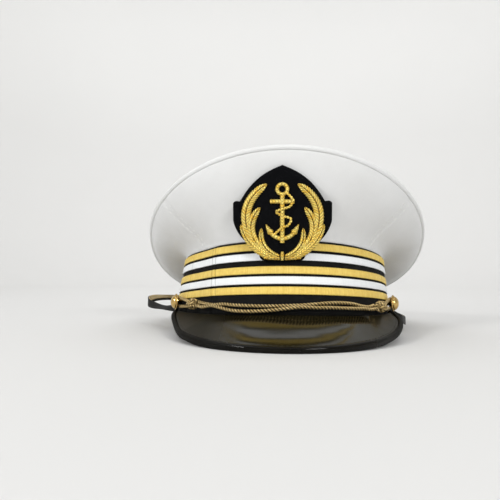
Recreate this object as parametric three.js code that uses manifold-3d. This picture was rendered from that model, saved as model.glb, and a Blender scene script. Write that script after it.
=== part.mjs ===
// A naval officer's peaked cap: white cloth crown, black band with five rows of rank braid, patent
// peak, gold chin cord with side buttons, a flat strap round the back and an embroidered badge.
// Millimetres. In the cap's own frame the hem lies in z = 0, the front faces -Y and +X is to the
// right of someone who looks at the front. The cap is then tipped until the edge of the peak and
// the rear hem stand on z = 0 together.

import * as THREE from "three";
import { mergeVertices } from "three/addons/utils/BufferGeometryUtils.js";
import Module from "manifold-3d";

const wasm = await Module();
wasm.setup();

const degree = Math.PI / 180;
const small = 1e-3;

// Gap left between pieces that are sewn or lie together
const seat = 0.3;

// Band: an oval wall that leans inwards, gets lower from the front to the sides and dips at the
// front of the hem, where the peak is sewn on
const bandHalfWidth = 84;
const bandHalfLength = 102;
const bandWall = 2.4;
const bandHeight = 45;
const bandLean = 0.149;
const bandSideDrop = 0.073;
const hemDip = 3;
const roundSteps = 48;

// The band's cloth is in four parts, sewn at the front, the sides and the back; rows is how often
// a part bends between its hem and its top
const bandParts = [
  { name: "band_front_right", from: 0, rows: 2 },
  { name: "band_rear_right", from: 90 * degree, rows: 2 },
  { name: "band_rear_left", from: 180 * degree, rows: 1 },
  { name: "band_front_left", from: 270 * degree, rows: 1 },
];
const bandPartAngle = 90 * degree;

// Stretches of the band between two creases: how far each is pressed in at the hem and at the top,
// less than nothing where it bulges
const flatStretches = [
  { from: -98 * degree, to: -58 * degree, hemDepth: -2.4, topDepth: -2.4 },
  { from: -58 * degree, to: -36.5 * degree, hemDepth: 1.6, topDepth: 1.6 },
  { from: 56 * degree, to: 96 * degree, hemDepth: 3, topDepth: -0.6 },
];

// Rank braid from the hem up, with the bare cloth below each row
const braidWidth = 5.2;
const braidThickness = 1;
const braidRows = [
  { name: "braid_gold_bottom", bareBelow: 9.8, finish: "goldBraid" },
  { name: "braid_silver_lower", bareBelow: 1.4, finish: "silverBraid" },
  { name: "braid_gold_middle", bareBelow: 1.4, finish: "goldBraid" },
  { name: "braid_silver_upper", bareBelow: 3.6, finish: "silverBraid" },
  { name: "braid_gold_top", bareBelow: 1.6, finish: "goldBraid" },
];

// Rest: how far the cap is tipped, and how far the rear hem is pressed flat by it
const restTilt = 6 * degree;
const hemPress = 0.9;

// Crown rim: an oval set back over the band, high at the front and hanging low behind
const rimHalfWidth = 110.8;
const rimHalfLength = 125;
const rimSetBack = 13;
const rimHeight = 54.3;
const rimFrontLift = 42.2;
const rimSaddle = 5;
const rimSquareness = 0.02;
const pipingRadius = 1.8;
const pipingSides = 6;

// Crown cloth: the middle of the top, and the section at three places round the head.
// footRise and footOut lead the panel up from the band, rimIn and rimDown lead it to the rim,
// and topFall is the power by which the top bends from its middle to the rim.
const clothThickness = 1.6;
const crownMiddle = 62;
const crownSections = {
  front: { footRise: 16, footOut: 3, rimIn: 4, rimDown: 16, topFall: 1.3 },
  side: { footRise: 8, footOut: 4, rimIn: 8, rimDown: 10, topFall: 2.2 },
  rear: { footRise: 6, footOut: 8, rimIn: 14, rimDown: 2, topFall: 3.1 },
};
const topRings = [0.33, 0.62, 0.84];
const panelRows = 5;
const crownPanels = [
  { name: "crown_front", from: -50 * degree, to: 50 * degree, steps: 14 },
  { name: "crown_side_right", from: 50 * degree, to: 180 * degree, steps: 17 },
  { name: "crown_side_left", from: 180 * degree, to: 310 * degree, steps: 17 },
];

// Peak: a stiff crescent that slopes down and forward from the hem, a little hollow across, its
// two ends raised and round
const peakHalfAngle = 67 * degree;
const peakReach = 35.4;
const peakEndReach = 2.6;
const peakTaper = 1.22;
const peakSlope = 28.5 * degree;
const peakThickness = 2;
const peakBow = -1.1;
const peakBowPower = 0.7;
const peakRise = -4;
const peakEndRise = 4.4;
const peakEndPower = 3;
const peakEndRound = 8 * degree;
const peakEndTrim = 0.7;
const peakSteps = 34;
const peakRows = 3;

// Binding folded over the edge of the peak
const bindingWall = 0.9;
const bindingDepth = 2.6;
const bindingRoom = 0.55;
const bindingShoulder = { out: 0.8, up: 0.65 };
const edgeStep = 0.02;

// Buttons: gilt domes on a shank, one at each side
const buttonAngle = 64 * degree;
const buttonRise = 7.4;
const buttonRadius = 6;
const buttonDome = 3.4;
const buttonRim = 1.1;
const shankRadius = 1.6;
const buttonBevel = 0.4;
const buttonSides = 14;

// The dome from its foot to its top, as shares of the button's radius and of the dome's height
const domeProfile = [
  { radius: 0.82, rise: 0.35 },
  { radius: 0.55, rise: 0.75 },
  { radius: 0.27, rise: 0.95 },
  { radius: 0, rise: 1 },
];

// Chin cord: two strands across the front, gathered in a knot at each end.
// Each row gives the place of both strands: out from the band and up from the hem.
const cordRadius = 1.05;
const cordSides = 8;
const cordSteps = 25;
const cordRoute = [
  { angle: -43.5, upperOut: 3.2, upperRise: 6.0, lowerOut: 5.3, lowerRise: 3.7 },
  { angle: -38, upperOut: 2.2, upperRise: 4.6, lowerOut: 4.6, lowerRise: 2.4 },
  { angle: -33, upperOut: 1.7, upperRise: 3.8, lowerOut: 4.1, lowerRise: 3.1 },
  { angle: -28, upperOut: 1.7, upperRise: 4.0, lowerOut: 4.0, lowerRise: 1.5 },
  { angle: -22, upperOut: 1.7, upperRise: 3.2, lowerOut: 3.7, lowerRise: -0.3 },
  { angle: -15, upperOut: 1.7, upperRise: 2.7, lowerOut: 3.6, lowerRise: -0.8 },
  { angle: -7, upperOut: 1.7, upperRise: 2.5, lowerOut: 3.8, lowerRise: -0.3 },
  { angle: 0, upperOut: 1.7, upperRise: 2.7, lowerOut: 4.1, lowerRise: 0.9 },
  { angle: 6, upperOut: 1.7, upperRise: 3.1, lowerOut: 4.1, lowerRise: 1.9 },
  { angle: 12, upperOut: 1.7, upperRise: 3.9, lowerOut: 4.0, lowerRise: 1.7 },
  { angle: 18, upperOut: 1.7, upperRise: 4.8, lowerOut: 3.7, lowerRise: 1.9 },
  { angle: 24, upperOut: 1.7, upperRise: 5.2, lowerOut: 3.6, lowerRise: 1.8 },
  { angle: 30, upperOut: 1.7, upperRise: 4.9, lowerOut: 3.9, lowerRise: 1.8 },
  { angle: 35, upperOut: 1.9, upperRise: 3.7, lowerOut: 4.2, lowerRise: 1.9 },
  { angle: 39, upperOut: 2.6, upperRise: 3.3, lowerOut: 4.8, lowerRise: 1.6 },
  { angle: 42.5, upperOut: 3.2, upperRise: 4.6, lowerOut: 5.3, lowerRise: 2.5 },
];

// Knots between the cords and the loops that hold the buttons
const knotRadius = 4;
const knotHalfLength = 4.4;
const knotOut = 4.5;
const knotPlaces = [
  { side: "left", angle: -47.5 * degree, rise: 5 },
  { side: "right", angle: 46.5 * degree, rise: 3.8 },
];

// The knot's profile along the cord: two waists between three turns, as shares of its size
const knotSides = 10;
const knotProfile = [
  { radius: 0, along: -1 },
  { radius: 0.55, along: -1 },
  { radius: 0.95, along: -0.62 },
  { radius: 0.86, along: -0.28 },
  { radius: 1, along: 0 },
  { radius: 0.86, along: 0.28 },
  { radius: 0.95, along: 0.62 },
  { radius: 0.55, along: 1 },
  { radius: 0, along: 1 },
];

// Loops: out from the band at the button, and where their two ends leave the knot
const loopOut = 2.95;
const loopSteps = 14;
const loopEndSpread = 1.6;
const loopEndOut = 3.9;

// Chin strap round the back: out from the band and up from the hem at each angle, and how far its
// upper edge is rolled over, in degrees
const strapWidth = 6;
const strapThickness = 1.4;
const strapSteps = 54;
const strapRoute = [
  { angle: -70.5, out: 1.4, rise: 3.6, roll: 0 },
  { angle: -73, out: 3.2, rise: 3.4, roll: 25 },
  { angle: -76.5, out: 10.5, rise: 3.6, roll: 60 },
  { angle: -79.5, out: 18, rise: 5.2, roll: 42 },
  { angle: -82.5, out: 24.2, rise: 7.8, roll: 8 },
  { angle: -86, out: 26.2, rise: 10.6, roll: -10 },
  { angle: -91, out: 25, rise: 12.9, roll: -36 },
  { angle: -98, out: 22.5, rise: 14.2, roll: -48 },
  { angle: -108, out: 20, rise: 15, roll: -40 },
  { angle: -125, out: 13, rise: 15.5, roll: -18 },
  { angle: -150, out: 7, rise: 15, roll: 0 },
  { angle: -180, out: 3, rise: 14, roll: 0 },
  { angle: -210, out: 5, rise: 12, roll: 0 },
  { angle: -235, out: 8, rise: 7.5, roll: 0 },
  { angle: -255, out: 10, rise: 2, roll: 0 },
  { angle: -268, out: 12.3, rise: -2.4, roll: 0 },
  { angle: -278, out: 12.2, rise: -4.6, roll: 0 },
  { angle: -285, out: 9.6, rise: -3.6, roll: 0 },
  { angle: -288, out: 4.6, rise: -0.4, roll: 0 },
  { angle: -289.5, out: 1.4, rise: 2.4, roll: 0 },
];

// Badge: a bent pad that leans forward with the crown, over the two upper rows of braid
const badgeShift = -2;
const badgeMiddleOut = 104.7;
const badgeMiddleRise = 60.8;
const badgeLean = 13 * degree;
const badgeBend = 115;
const badgeThickness = 2;
const badgeApex = 30.2;
const badgeHalfWidth = 31.8;
const badgeNotch = 27;
const badgeNotchHeight = 7.6;
const badgeEarRise = 0.12;
const badgeFoot = -30.2;
const badgeFootHalfWidth = 11;
const badgeFootRound = 3.5;
const badgeBelly = 26.8;
const badgeBellyWidth = 32.05;
const archStraight = 0.48;
const badgeColumns = 26;

// Embroidery heights over the pad, and the anchor's sizes
const leafHeight = 1.7;
const anchorHeight = 2;
const anchorRingRadius = 3.15;
const anchorRingMiddle = 15;
const anchorBar = 1.45;
const anchorRingBar = 1.2;
const anchorStockHeight = 7.3;
const anchorStockReach = 7.4;
const anchorCrown = -16.2;
const anchorArmReach = 9.6;
const anchorArmTip = -8.2;
const anchorBill = 2.4;
const anchorStockLift = 1.8;
const anchorRingLift = 1.6;
const anchorRingOverlap = 0.3;
const anchorShankRise = 0.8;
const anchorArm = { bendX: 7.2, bendUp: 1.2, taper: 1.2, lift: 1.7 };
const anchorPalm = {
  from: 0.54,
  bend: 0.87,
  barb: 0.16,
  tipX: 10,
  tipY: -7,
  point: 0.3,
  half: 2.2,
  lift: 1.75,
};
const cableBar = 0.9;
const cableHeight = 1.1;
const cableOverHeight = 2.7;

// The cable's way round the shank, from the ring down; over is 1 where it lies on top
const cableRoute = [
  { x: 3.2, y: 12.4, over: 0 },
  { x: 6.3, y: 8.2, over: 1 },
  { x: 4.6, y: 4.2, over: 0 },
  { x: 0, y: 2.6, over: 1 },
  { x: -3.7, y: 0.8, over: 0 },
  { x: 0, y: -1.6, over: 0 },
  { x: 5.2, y: -3.6, over: 0 },
  { x: 3.6, y: -7.6, over: 0 },
  { x: 0, y: -9, over: 1 },
  { x: -4.6, y: -13, over: 0 },
];

// Leaves of one branch: tip and base in the badge's plane, outward bow and half width
const leaves = [
  { tipX: 9.4, tipY: 18.2, baseX: 19.5, baseY: -16, bow: 7.8, half: 3 },
  { tipX: 13.7, tipY: 3.6, baseX: 12.5, baseY: -23, bow: 6.4, half: 2.5 },
  { tipX: 12.8, tipY: -9.4, baseX: 2.1, baseY: -27.4, bow: 4.4, half: 1.8 },
  { tipX: 26.1, tipY: -7.2, baseX: 7.5, baseY: -28, bow: 3.4, half: 2.1 },
  { tipX: 22, tipY: -12, baseX: 4.5, baseY: -27.4, bow: 3.2, half: 2.2 },
];
const stemHalfLength = 11.4;
const stemHeight = -28.6;
const stemHalfWidth = 1;
const stemTaper = 0.7;
const stemLift = 1.3;
const leafVein = 0.3;
const leafTip = 0.22;
const leafSwell = { start: 0.02, span: 0.84, power: 0.5 };
const tieHalfWidth = 1.2;
const tieTop = -24.2;
const tieFoot = -29.6;
const tieLift = 2.2;
const tieBulge = 0.25;

// Finishes
const finishes = {
  whiteCloth: { color: 0xf1f0ec, roughness: 0.85, metalness: 0 },
  blackCloth: { color: 0x15151a, roughness: 0.9, metalness: 0 },
  goldBraid: { color: 0xe0b45a, roughness: 0.45, metalness: 0.6 },
  silverBraid: { color: 0xe8ebee, roughness: 0.45, metalness: 0.4 },
  patent: { color: 0x14130f, roughness: 0.12, metalness: 0 },
  antiqueGold: { color: 0xa07f3a, roughness: 0.5, metalness: 0.6 },
  bullion: { color: 0xd9a938, roughness: 0.4, metalness: 0.7 },
  gilt: { color: 0xd8a53c, roughness: 0.2, metalness: 1 },
  strapLeather: { color: 0x1c1814, roughness: 0.5, metalness: 0 },
};

// Meshes

const cap = new THREE.Group();

function addPiece(name, geometry, finish) {
  const mesh = new THREE.Mesh(geometry, new THREE.MeshStandardMaterial(finishes[finish]));
  mesh.name = name;
  cap.add(mesh);
}

function meshFrom(points, triangles) {
  const geometry = new THREE.BufferGeometry().setFromPoints(points);
  geometry.setIndex(triangles);
  return geometry;
}

function addQuad(triangles, a, b, c, d) {
  triangles.push(a, b, c, a, c, d);
}

// A closed wall between two grids of points. place(i, j, side) gives a point: i goes round, j goes
// across, and side 0 lies where the turn from i to j points. A ring closes on itself.
function wallGeometry(around, across, place, ring) {
  const columns = ring ? around : around + 1;
  const points = [];
  const triangles = [];
  for (let side = 0; side < 2; side++) {
    for (let j = 0; j <= across; j++) {
      for (let i = 0; i < columns; i++) {
        points.push(place(i, j, side));
      }
    }
  }
  const at = (i, j, side) => (side * (across + 1) + j) * columns + (i % columns);
  for (let i = 0; i < around; i++) {
    for (let j = 0; j < across; j++) {
      addQuad(triangles, at(i, j, 0), at(i + 1, j, 0), at(i + 1, j + 1, 0), at(i, j + 1, 0));
      addQuad(triangles, at(i, j, 1), at(i, j + 1, 1), at(i + 1, j + 1, 1), at(i + 1, j, 1));
    }
    addQuad(triangles, at(i, 0, 1), at(i + 1, 0, 1), at(i + 1, 0, 0), at(i, 0, 0));
    addQuad(triangles, at(i, across, 0), at(i + 1, across, 0), at(i + 1, across, 1), at(i, across, 1));
  }
  for (let j = 0; j < across && !ring; j++) {
    addQuad(triangles, at(0, j, 1), at(0, j, 0), at(0, j + 1, 0), at(0, j + 1, 1));
    addQuad(triangles, at(around, j, 0), at(around, j, 1), at(around, j + 1, 1), at(around, j + 1, 0));
  }
  return meshFrom(points, triangles);
}

// The middle surface of a cloth or leather piece, moved half a thickness along its normal
function offsetPoint(surface, u, v, distance) {
  const alongU = surface(u + small, v).sub(surface(u - small, v));
  const alongV = surface(u, v + small).sub(surface(u, v - small));
  const normal = alongU.cross(alongV).normalize();
  return surface(u, v).addScaledVector(normal, distance);
}

// A closed sweep: sectionAt(i) gives the corners of the section at station i, and the outline gives
// the same section flat, clockwise as seen along the travel, so that the ends can be closed.
function sweepGeometry(stations, outline, sectionAt, ring) {
  const sides = outline.length;
  const rows = ring ? stations : stations + 1;
  const points = [];
  const triangles = [];
  for (let i = 0; i < rows; i++) {
    points.push(...sectionAt(i));
  }
  for (let i = 0; i < stations; i++) {
    const here = i * sides;
    const next = ((i + 1) % rows) * sides;
    for (let k = 0; k < sides; k++) {
      const turn = (k + 1) % sides;
      addQuad(triangles, here + k, here + turn, next + turn, next + k);
    }
  }
  if (!ring) {
    const last = stations * sides;
    for (const [a, b, c] of THREE.ShapeUtils.triangulateShape(outline, [])) {
      triangles.push(a, b, c);
      triangles.push(last + c, last + b, last + a);
    }
  }
  return meshFrom(points, triangles);
}

function roundOutline(radius, sides) {
  const outline = [];
  for (let k = 0; k < sides; k++) {
    const turn = (2 * Math.PI * k) / sides;
    outline.push(new THREE.Vector2(radius * Math.cos(turn), radius * Math.sin(turn)));
  }
  return outline;
}

function tubeGeometry(points, radius, sides, steps) {
  const section = new THREE.Shape(roundOutline(radius, sides));
  const path = new THREE.CatmullRomCurve3(points);
  return new THREE.ExtrudeGeometry(section, { steps, extrudePath: path });
}

// Booleans

function solidFrom(geometry) {
  const bare = geometry.clone();
  bare.deleteAttribute("normal");
  bare.deleteAttribute("uv");
  const merged = mergeVertices(bare, 1e-4);
  const vertProperties = new Float32Array(merged.attributes.position.array);
  const triVerts = new Uint32Array(merged.index.array);
  return new wasm.Manifold(new wasm.Mesh({ numProp: 3, vertProperties, triVerts }));
}

function joined(geometries) {
  let solid = solidFrom(geometries[0]);
  for (const geometry of geometries.slice(1)) {
    solid = solid.add(solidFrom(geometry));
  }
  const mesh = solid.getMesh();
  const result = new THREE.BufferGeometry();
  result.setAttribute("position", new THREE.BufferAttribute(mesh.vertProperties, 3));
  result.setIndex(new THREE.BufferAttribute(mesh.triVerts, 1));
  return result;
}

// Band and braid

const shareOfHeight = (t) => 1 - bandSideDrop * (1 - Math.max(Math.cos(t), 0));

function flatDent(t, height) {
  const turned = t - 2 * Math.PI * Math.round(t / (2 * Math.PI));
  let dent = 0;
  for (const { from, to, hemDepth, topDepth } of flatStretches) {
    if (turned > from && turned < to) {
      const depth = THREE.MathUtils.lerp(hemDepth, topDepth, height / bandHeight);
      dent += depth * Math.sin((Math.PI * (turned - from)) / (to - from));
    }
  }
  return dent;
}

// The point at angle t from the front, at a height, and out from the band's outer face
function bandPoint(t, height, out) {
  const scale = 1 - (bandLean * height) / bandHalfWidth;
  const normal = new THREE.Vector2(Math.sin(t) / bandHalfWidth, -Math.cos(t) / bandHalfLength);
  normal.normalize().multiplyScalar(out - flatDent(t, height));
  const x = bandHalfWidth * scale * Math.sin(t) + normal.x;
  const y = -bandHalfLength * scale * Math.cos(t) + normal.y;
  return new THREE.Vector3(x, y, height);
}

const roundAngle = (i) => (2 * Math.PI * i) / roundSteps;
const floorHeight = (y) => hemPress - (bandHalfLength - y) * Math.tan(restTilt);

// The hem's point, raised onto the floor where the rear of the band stands on it
function hemPoint(t, out) {
  let height = -hemDip * Math.max(Math.cos(t), 0);
  for (let pass = 0; pass < 4; pass++) {
    height = Math.max(height, floorHeight(bandPoint(t, height, out).y));
  }
  return bandPoint(t, height, out);
}

function makeBand() {
  const steps = roundSteps / bandParts.length;
  const seam = seat / 2 / bandHalfWidth;
  for (const { name, from, rows } of bandParts) {
    const place = (i, j, side) => {
      const t = from + seam + ((bandPartAngle - 2 * seam) * i) / steps;
      const out = -side * bandWall;
      return j === 0 ? hemPoint(t, out) : bandPoint(t, (j / rows) * bandHeight * shareOfHeight(t), out);
    };
    addPiece(name, wallGeometry(steps, rows, place, false), "blackCloth");
  }
}

function makeBraid() {
  let low = 0;
  for (const { name, bareBelow, finish } of braidRows) {
    low += bareBelow;
    const foot = low;
    const place = (i, j, side) => {
      const t = roundAngle(i);
      const height = (foot + j * braidWidth) * shareOfHeight(t);
      return bandPoint(t, height, seat + (1 - side) * braidThickness);
    };
    addPiece(name, wallGeometry(roundSteps, 1, place, true), finish);
    low += braidWidth;
  }
}

// Crown

// A section value at angle t, by cosines through its front, side and rear values
function sectionValue(column, t) {
  const front = crownSections.front[column];
  const side = crownSections.side[column];
  const rear = crownSections.rear[column];
  const ends = (front + rear) / 2;
  return (ends + side) / 2 + ((front - rear) / 2) * Math.cos(t) + ((ends - side) / 2) * Math.cos(2 * t);
}

function rimPoint(t) {
  const square = 1 + rimSquareness * Math.sin(2 * t) ** 2;
  const x = rimHalfWidth * square * Math.sin(t);
  const y = rimSetBack - rimHalfLength * square * Math.cos(t);
  const z = rimHeight + rimFrontLift * Math.cos(t) + rimSaddle * Math.cos(2 * t);
  return new THREE.Vector3(x, y, z);
}

function topPoint(t, share) {
  const rim = rimPoint(t);
  const fall = share ** sectionValue("topFall", t);
  const y = rimSetBack + (rim.y - rimSetBack) * share;
  return new THREE.Vector3(rim.x * share, y, crownMiddle + (rim.z - crownMiddle) * fall);
}

function panelCurve(t) {
  const foot = bandPoint(t, bandHeight * shareOfHeight(t) + seat + clothThickness / 2, -bandWall / 2);
  const rim = rimPoint(t);
  const outward = new THREE.Vector3(rim.x - foot.x, rim.y - foot.y, 0).normalize();
  const lead = foot.clone().addScaledVector(outward, sectionValue("footOut", t));
  lead.z += sectionValue("footRise", t);
  const arrive = rim.clone().addScaledVector(outward, -sectionValue("rimIn", t));
  arrive.z -= sectionValue("rimDown", t);
  return new THREE.CubicBezierCurve3(foot, lead, arrive, rim);
}

// How far along the panel its cloth stops, so that it meets the piping with a small gap
function panelEnd(t) {
  const arrive = Math.hypot(sectionValue("rimIn", t), sectionValue("rimDown", t));
  return 1 - (pipingRadius + 2 * seat) / (3 * arrive);
}

function makeCrownTop() {
  const points = [];
  const triangles = [];
  const edgeShare = 1 - (pipingRadius + 2 * seat) / rimHalfWidth;
  const rings = [...topRings, edgeShare];
  const half = clothThickness / 2;
  for (const lift of [half, -half]) {
    points.push(new THREE.Vector3(0, rimSetBack, crownMiddle + lift));
    for (const share of rings) {
      for (let i = 0; i < roundSteps; i++) {
        points.push(offsetPoint(topPoint, roundAngle(i), share, -lift));
      }
    }
  }
  const layer = 1 + rings.length * roundSteps;
  const at = (i, j, side) => side * layer + 1 + j * roundSteps + (i % roundSteps);
  const last = rings.length - 1;
  for (let i = 0; i < roundSteps; i++) {
    triangles.push(0, at(i, 0, 0), at(i + 1, 0, 0));
    triangles.push(layer, at(i + 1, 0, 1), at(i, 0, 1));
    for (let j = 0; j < last; j++) {
      addQuad(triangles, at(i, j, 0), at(i, j + 1, 0), at(i + 1, j + 1, 0), at(i + 1, j, 0));
      addQuad(triangles, at(i, j, 1), at(i + 1, j, 1), at(i + 1, j + 1, 1), at(i, j + 1, 1));
    }
    addQuad(triangles, at(i, last, 0), at(i, last, 1), at(i + 1, last, 1), at(i + 1, last, 0));
  }
  addPiece("crown_top", meshFrom(points, triangles), "whiteCloth");
}

function makeCrownPanels() {
  const panel = (t, share) => panelCurve(t).getPoint(share * panelEnd(t));
  for (const { name, from, to, steps } of crownPanels) {
    const seam = seat / 2 / bandHalfWidth;
    const place = (i, j, side) => {
      const t = from + seam + ((to - from - 2 * seam) * i) / steps;
      return offsetPoint(panel, t, j / panelRows, (0.5 - side) * clothThickness);
    };
    addPiece(name, wallGeometry(steps, panelRows, place, false), "whiteCloth");
  }
}

function makePiping() {
  const outline = roundOutline(pipingRadius, pipingSides);
  const sectionAt = (i) => {
    const t = roundAngle(i);
    const rim = rimPoint(t);
    const ahead = rimPoint(t + small).sub(rimPoint(t - small));
    const outward = new THREE.Vector3(ahead.y, -ahead.x, 0).normalize();
    const upward = outward.clone().cross(ahead).normalize();
    return outline.map(({ x, y }) => rim.clone().addScaledVector(outward, -x).addScaledVector(upward, y));
  };
  addPiece("crown_piping", sweepGeometry(roundSteps, outline, sectionAt, true), "whiteCloth");
}

// Peak

function peakReachAt(t) {
  const bulge = Math.max(Math.cos((Math.PI / 2) * (t / peakHalfAngle)), 0) ** peakTaper;
  const past = THREE.MathUtils.clamp((Math.abs(t) - peakHalfAngle) / peakEndRound + 1, 0, 1);
  return (peakEndReach + (peakReach - peakEndReach) * bulge) * (1 - peakEndTrim * past ** 3);
}

function peakPoint(t, share) {
  const reach = peakReachAt(t);
  const drop = share * reach * Math.tan(peakSlope);
  const bow = peakBow * Math.sin(Math.PI * Math.max(share, 0) ** peakBowPower) * (reach / peakReach);
  const point = bandPoint(t, 0, 2 * seat + peakThickness / 2 + share * reach);
  const end = peakEndRise * (Math.abs(t) / peakHalfAngle) ** peakEndPower;
  point.z = peakRise + end - drop + bow;
  return point;
}

function makePeak() {
  const place = (i, j, side) => {
    const t = peakHalfAngle * ((2 * i) / peakSteps - 1);
    return offsetPoint(peakPoint, t, j / peakRows, (0.5 - side) * peakThickness);
  };
  addPiece("peak", wallGeometry(peakSteps, peakRows, place, false), "patent");
}

// The binding is a channel: two legs along the faces of the peak and a round back past its edge
function makePeakBinding() {
  const inner = peakThickness / 2 + bindingRoom;
  const outer = inner + bindingWall;
  const back = bindingRoom + bindingWall;
  const outlineAt = (depth) => [
    new THREE.Vector2(-depth, outer),
    new THREE.Vector2(0, outer),
    new THREE.Vector2(bindingShoulder.out * back, bindingShoulder.up * outer),
    new THREE.Vector2(back, 0),
    new THREE.Vector2(bindingShoulder.out * back, -bindingShoulder.up * outer),
    new THREE.Vector2(0, -outer),
    new THREE.Vector2(-depth, -outer),
    new THREE.Vector2(-depth, -inner),
    new THREE.Vector2(bindingRoom, -inner),
    new THREE.Vector2(bindingRoom, inner),
    new THREE.Vector2(-depth, inner),
  ];
  const sectionAt = (i) => {
    const t = peakHalfAngle * ((2 * i) / peakSteps - 1);
    const edge = peakPoint(t, 1);
    const outward = edge.clone().sub(peakPoint(t, 1 - edgeStep)).normalize();
    const upward = edge.clone().sub(offsetPoint(peakPoint, t, 1, 1));
    const place = ({ x, y }) => edge.clone().addScaledVector(outward, x).addScaledVector(upward, y);
    return outlineAt(Math.min(bindingDepth, peakReachAt(t) + seat)).map((corner) => {
      const point = place(corner);
      return point.setZ(Math.max(point.z, floorHeight(point.y)));
    });
  };
  addPiece("peak_binding", sweepGeometry(peakSteps, outlineAt(bindingDepth), sectionAt, false), "patent");
}

// Cords, knots, loops and buttons

function makeCords() {
  for (const strand of ["upper", "lower"]) {
    const points = cordRoute.map((row) => {
      return bandPoint(row.angle * degree, row[`${strand}Rise`], row[`${strand}Out`]);
    });
    const geometry = tubeGeometry(points, cordRadius, cordSides, cordSteps);
    addPiece(`chin_cord_${strand}`, geometry, "antiqueGold");
  }
}

// A barrel of three turns, lying along the cord
function makeKnots() {
  const profile = knotProfile.map(({ radius, along }) => {
    return new THREE.Vector2(radius * knotRadius, along * knotHalfLength);
  });
  for (const { side, angle, rise } of knotPlaces) {
    const geometry = new THREE.LatheGeometry(profile, knotSides);
    const along = bandPoint(angle + small, 0, 0).sub(bandPoint(angle - small, 0, 0)).normalize();
    geometry.applyQuaternion(new THREE.Quaternion().setFromUnitVectors(new THREE.Vector3(0, 1, 0), along));
    const middle = bandPoint(angle, rise, knotOut);
    geometry.translate(middle.x, middle.y, middle.z);
    addPiece(`cord_knot_${side}`, geometry, "antiqueGold");
  }
}

// A loop from the knot round the button's shank and back, half a circle at the shank
function makeLoops() {
  const spread = shankRadius + 2 * seat + cordRadius;
  for (const { side, angle, rise } of knotPlaces) {
    const turn = Math.sign(angle);
    const middle = bandPoint(turn * buttonAngle, buttonRise, loopOut);
    const away = bandPoint(turn * (buttonAngle + small), buttonRise, 0);
    away.sub(bandPoint(turn * (buttonAngle - small), buttonRise, 0)).normalize();
    const start = angle + turn * (knotHalfLength + cordRadius + seat) / bandHalfWidth;
    const points = [];
    for (const swing of [90, 45, 0, -45, -90]) {
      const point = middle.clone().addScaledVector(away, spread * Math.cos(swing * degree));
      point.z += spread * Math.sin(swing * degree);
      points.push(point);
    }
    points.unshift(bandPoint(start, rise + loopEndSpread, loopEndOut));
    points.push(bandPoint(start, rise - loopEndSpread, loopEndOut));
    addPiece(`cord_loop_${side}`, tubeGeometry(points, cordRadius, cordSides, loopSteps), "antiqueGold");
  }
}

function makeButtons() {
  const base = loopOut + cordRadius + 2 * seat;
  const profile = [
    new THREE.Vector2(0, 2 * seat),
    new THREE.Vector2(shankRadius, 2 * seat),
    new THREE.Vector2(shankRadius, base),
    new THREE.Vector2(buttonRadius - buttonBevel, base),
    new THREE.Vector2(buttonRadius, base + buttonRim / 2),
    new THREE.Vector2(buttonRadius - buttonBevel, base + buttonRim),
  ];
  for (const { radius, rise } of domeProfile) {
    profile.push(new THREE.Vector2(radius * buttonRadius, base + buttonRim + rise * buttonDome));
  }
  for (const [side, angle] of [["left", -buttonAngle], ["right", buttonAngle]]) {
    const geometry = new THREE.LatheGeometry(profile, buttonSides);
    const seatPoint = bandPoint(angle, buttonRise, 0);
    const outward = bandPoint(angle, buttonRise, 1).sub(seatPoint);
    const turn = new THREE.Quaternion().setFromUnitVectors(new THREE.Vector3(0, 1, 0), outward);
    geometry.applyQuaternion(turn);
    geometry.translate(seatPoint.x, seatPoint.y, seatPoint.z);
    addPiece(`button_${side}`, geometry, "gilt");
  }
}

// A column's value at a share of a table's rows, on the straight line between two of them
function columnAt(table, column, share) {
  const place = share * (table.length - 1);
  const row = Math.min(Math.floor(place), table.length - 2);
  return THREE.MathUtils.lerp(table[row][column], table[row + 1][column], place - row);
}

function makeStrap() {
  const points = strapRoute.map(({ angle, out, rise }) => bandPoint(angle * degree, rise, out));
  const route = new THREE.CatmullRomCurve3(points, false, "centripetal");
  const place = (i, j, side) => {
    const share = i / strapSteps;
    const middle = route.getPointAt(share);
    const ahead = route.getTangentAt(share);
    const inward = new THREE.Vector3(ahead.y, -ahead.x, 0).normalize();
    const upward = new THREE.Vector3(0, 0, 1);
    const roll = columnAt(strapRoute, "roll", route.getUtoTmapping(share)) * degree;
    const across = (j - 0.5) * strapWidth;
    const depth = (0.5 - side) * strapThickness;
    middle.addScaledVector(upward, across * Math.cos(roll) - depth * Math.sin(roll));
    return middle.addScaledVector(inward, across * Math.sin(roll) + depth * Math.cos(roll));
  };
  addPiece("chin_strap", wallGeometry(strapSteps, 1, place, false), "strapLeather");
}

// Badge

// From the badge's flat plane (right, up, out) to the cap: bent about an upright axis, then leant
function badgeToCap(point) {
  const turn = point.x / badgeBend;
  const radius = badgeBend + point.z;
  const depth = radius * Math.cos(turn) - badgeBend;
  const x = badgeShift + radius * Math.sin(turn);
  const y = -badgeMiddleOut - depth * Math.cos(badgeLean) - point.y * Math.sin(badgeLean);
  const z = badgeMiddleRise + point.y * Math.cos(badgeLean) - depth * Math.sin(badgeLean);
  return point.set(x, y, z);
}

function bendOntoCap(geometry) {
  const position = geometry.attributes.position;
  const point = new THREE.Vector3();
  for (let i = 0; i < position.count; i++) {
    badgeToCap(point.fromBufferAttribute(position, i));
    position.setXYZ(i, point.x, point.y, point.z);
  }
  return geometry;
}

// Upper edge: a pointed arch down to the notch, then the ear
function badgeTop(x) {
  const side = Math.abs(x);
  if (side > badgeNotch) {
    return badgeNotchHeight + badgeEarRise * (side - badgeNotch);
  }
  const fallAtNotch = badgeApex - badgeNotchHeight;
  const share = side / badgeNotch;
  return badgeApex - fallAtNotch * (archStraight * share + (1 - archStraight) * share ** 3);
}

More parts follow.
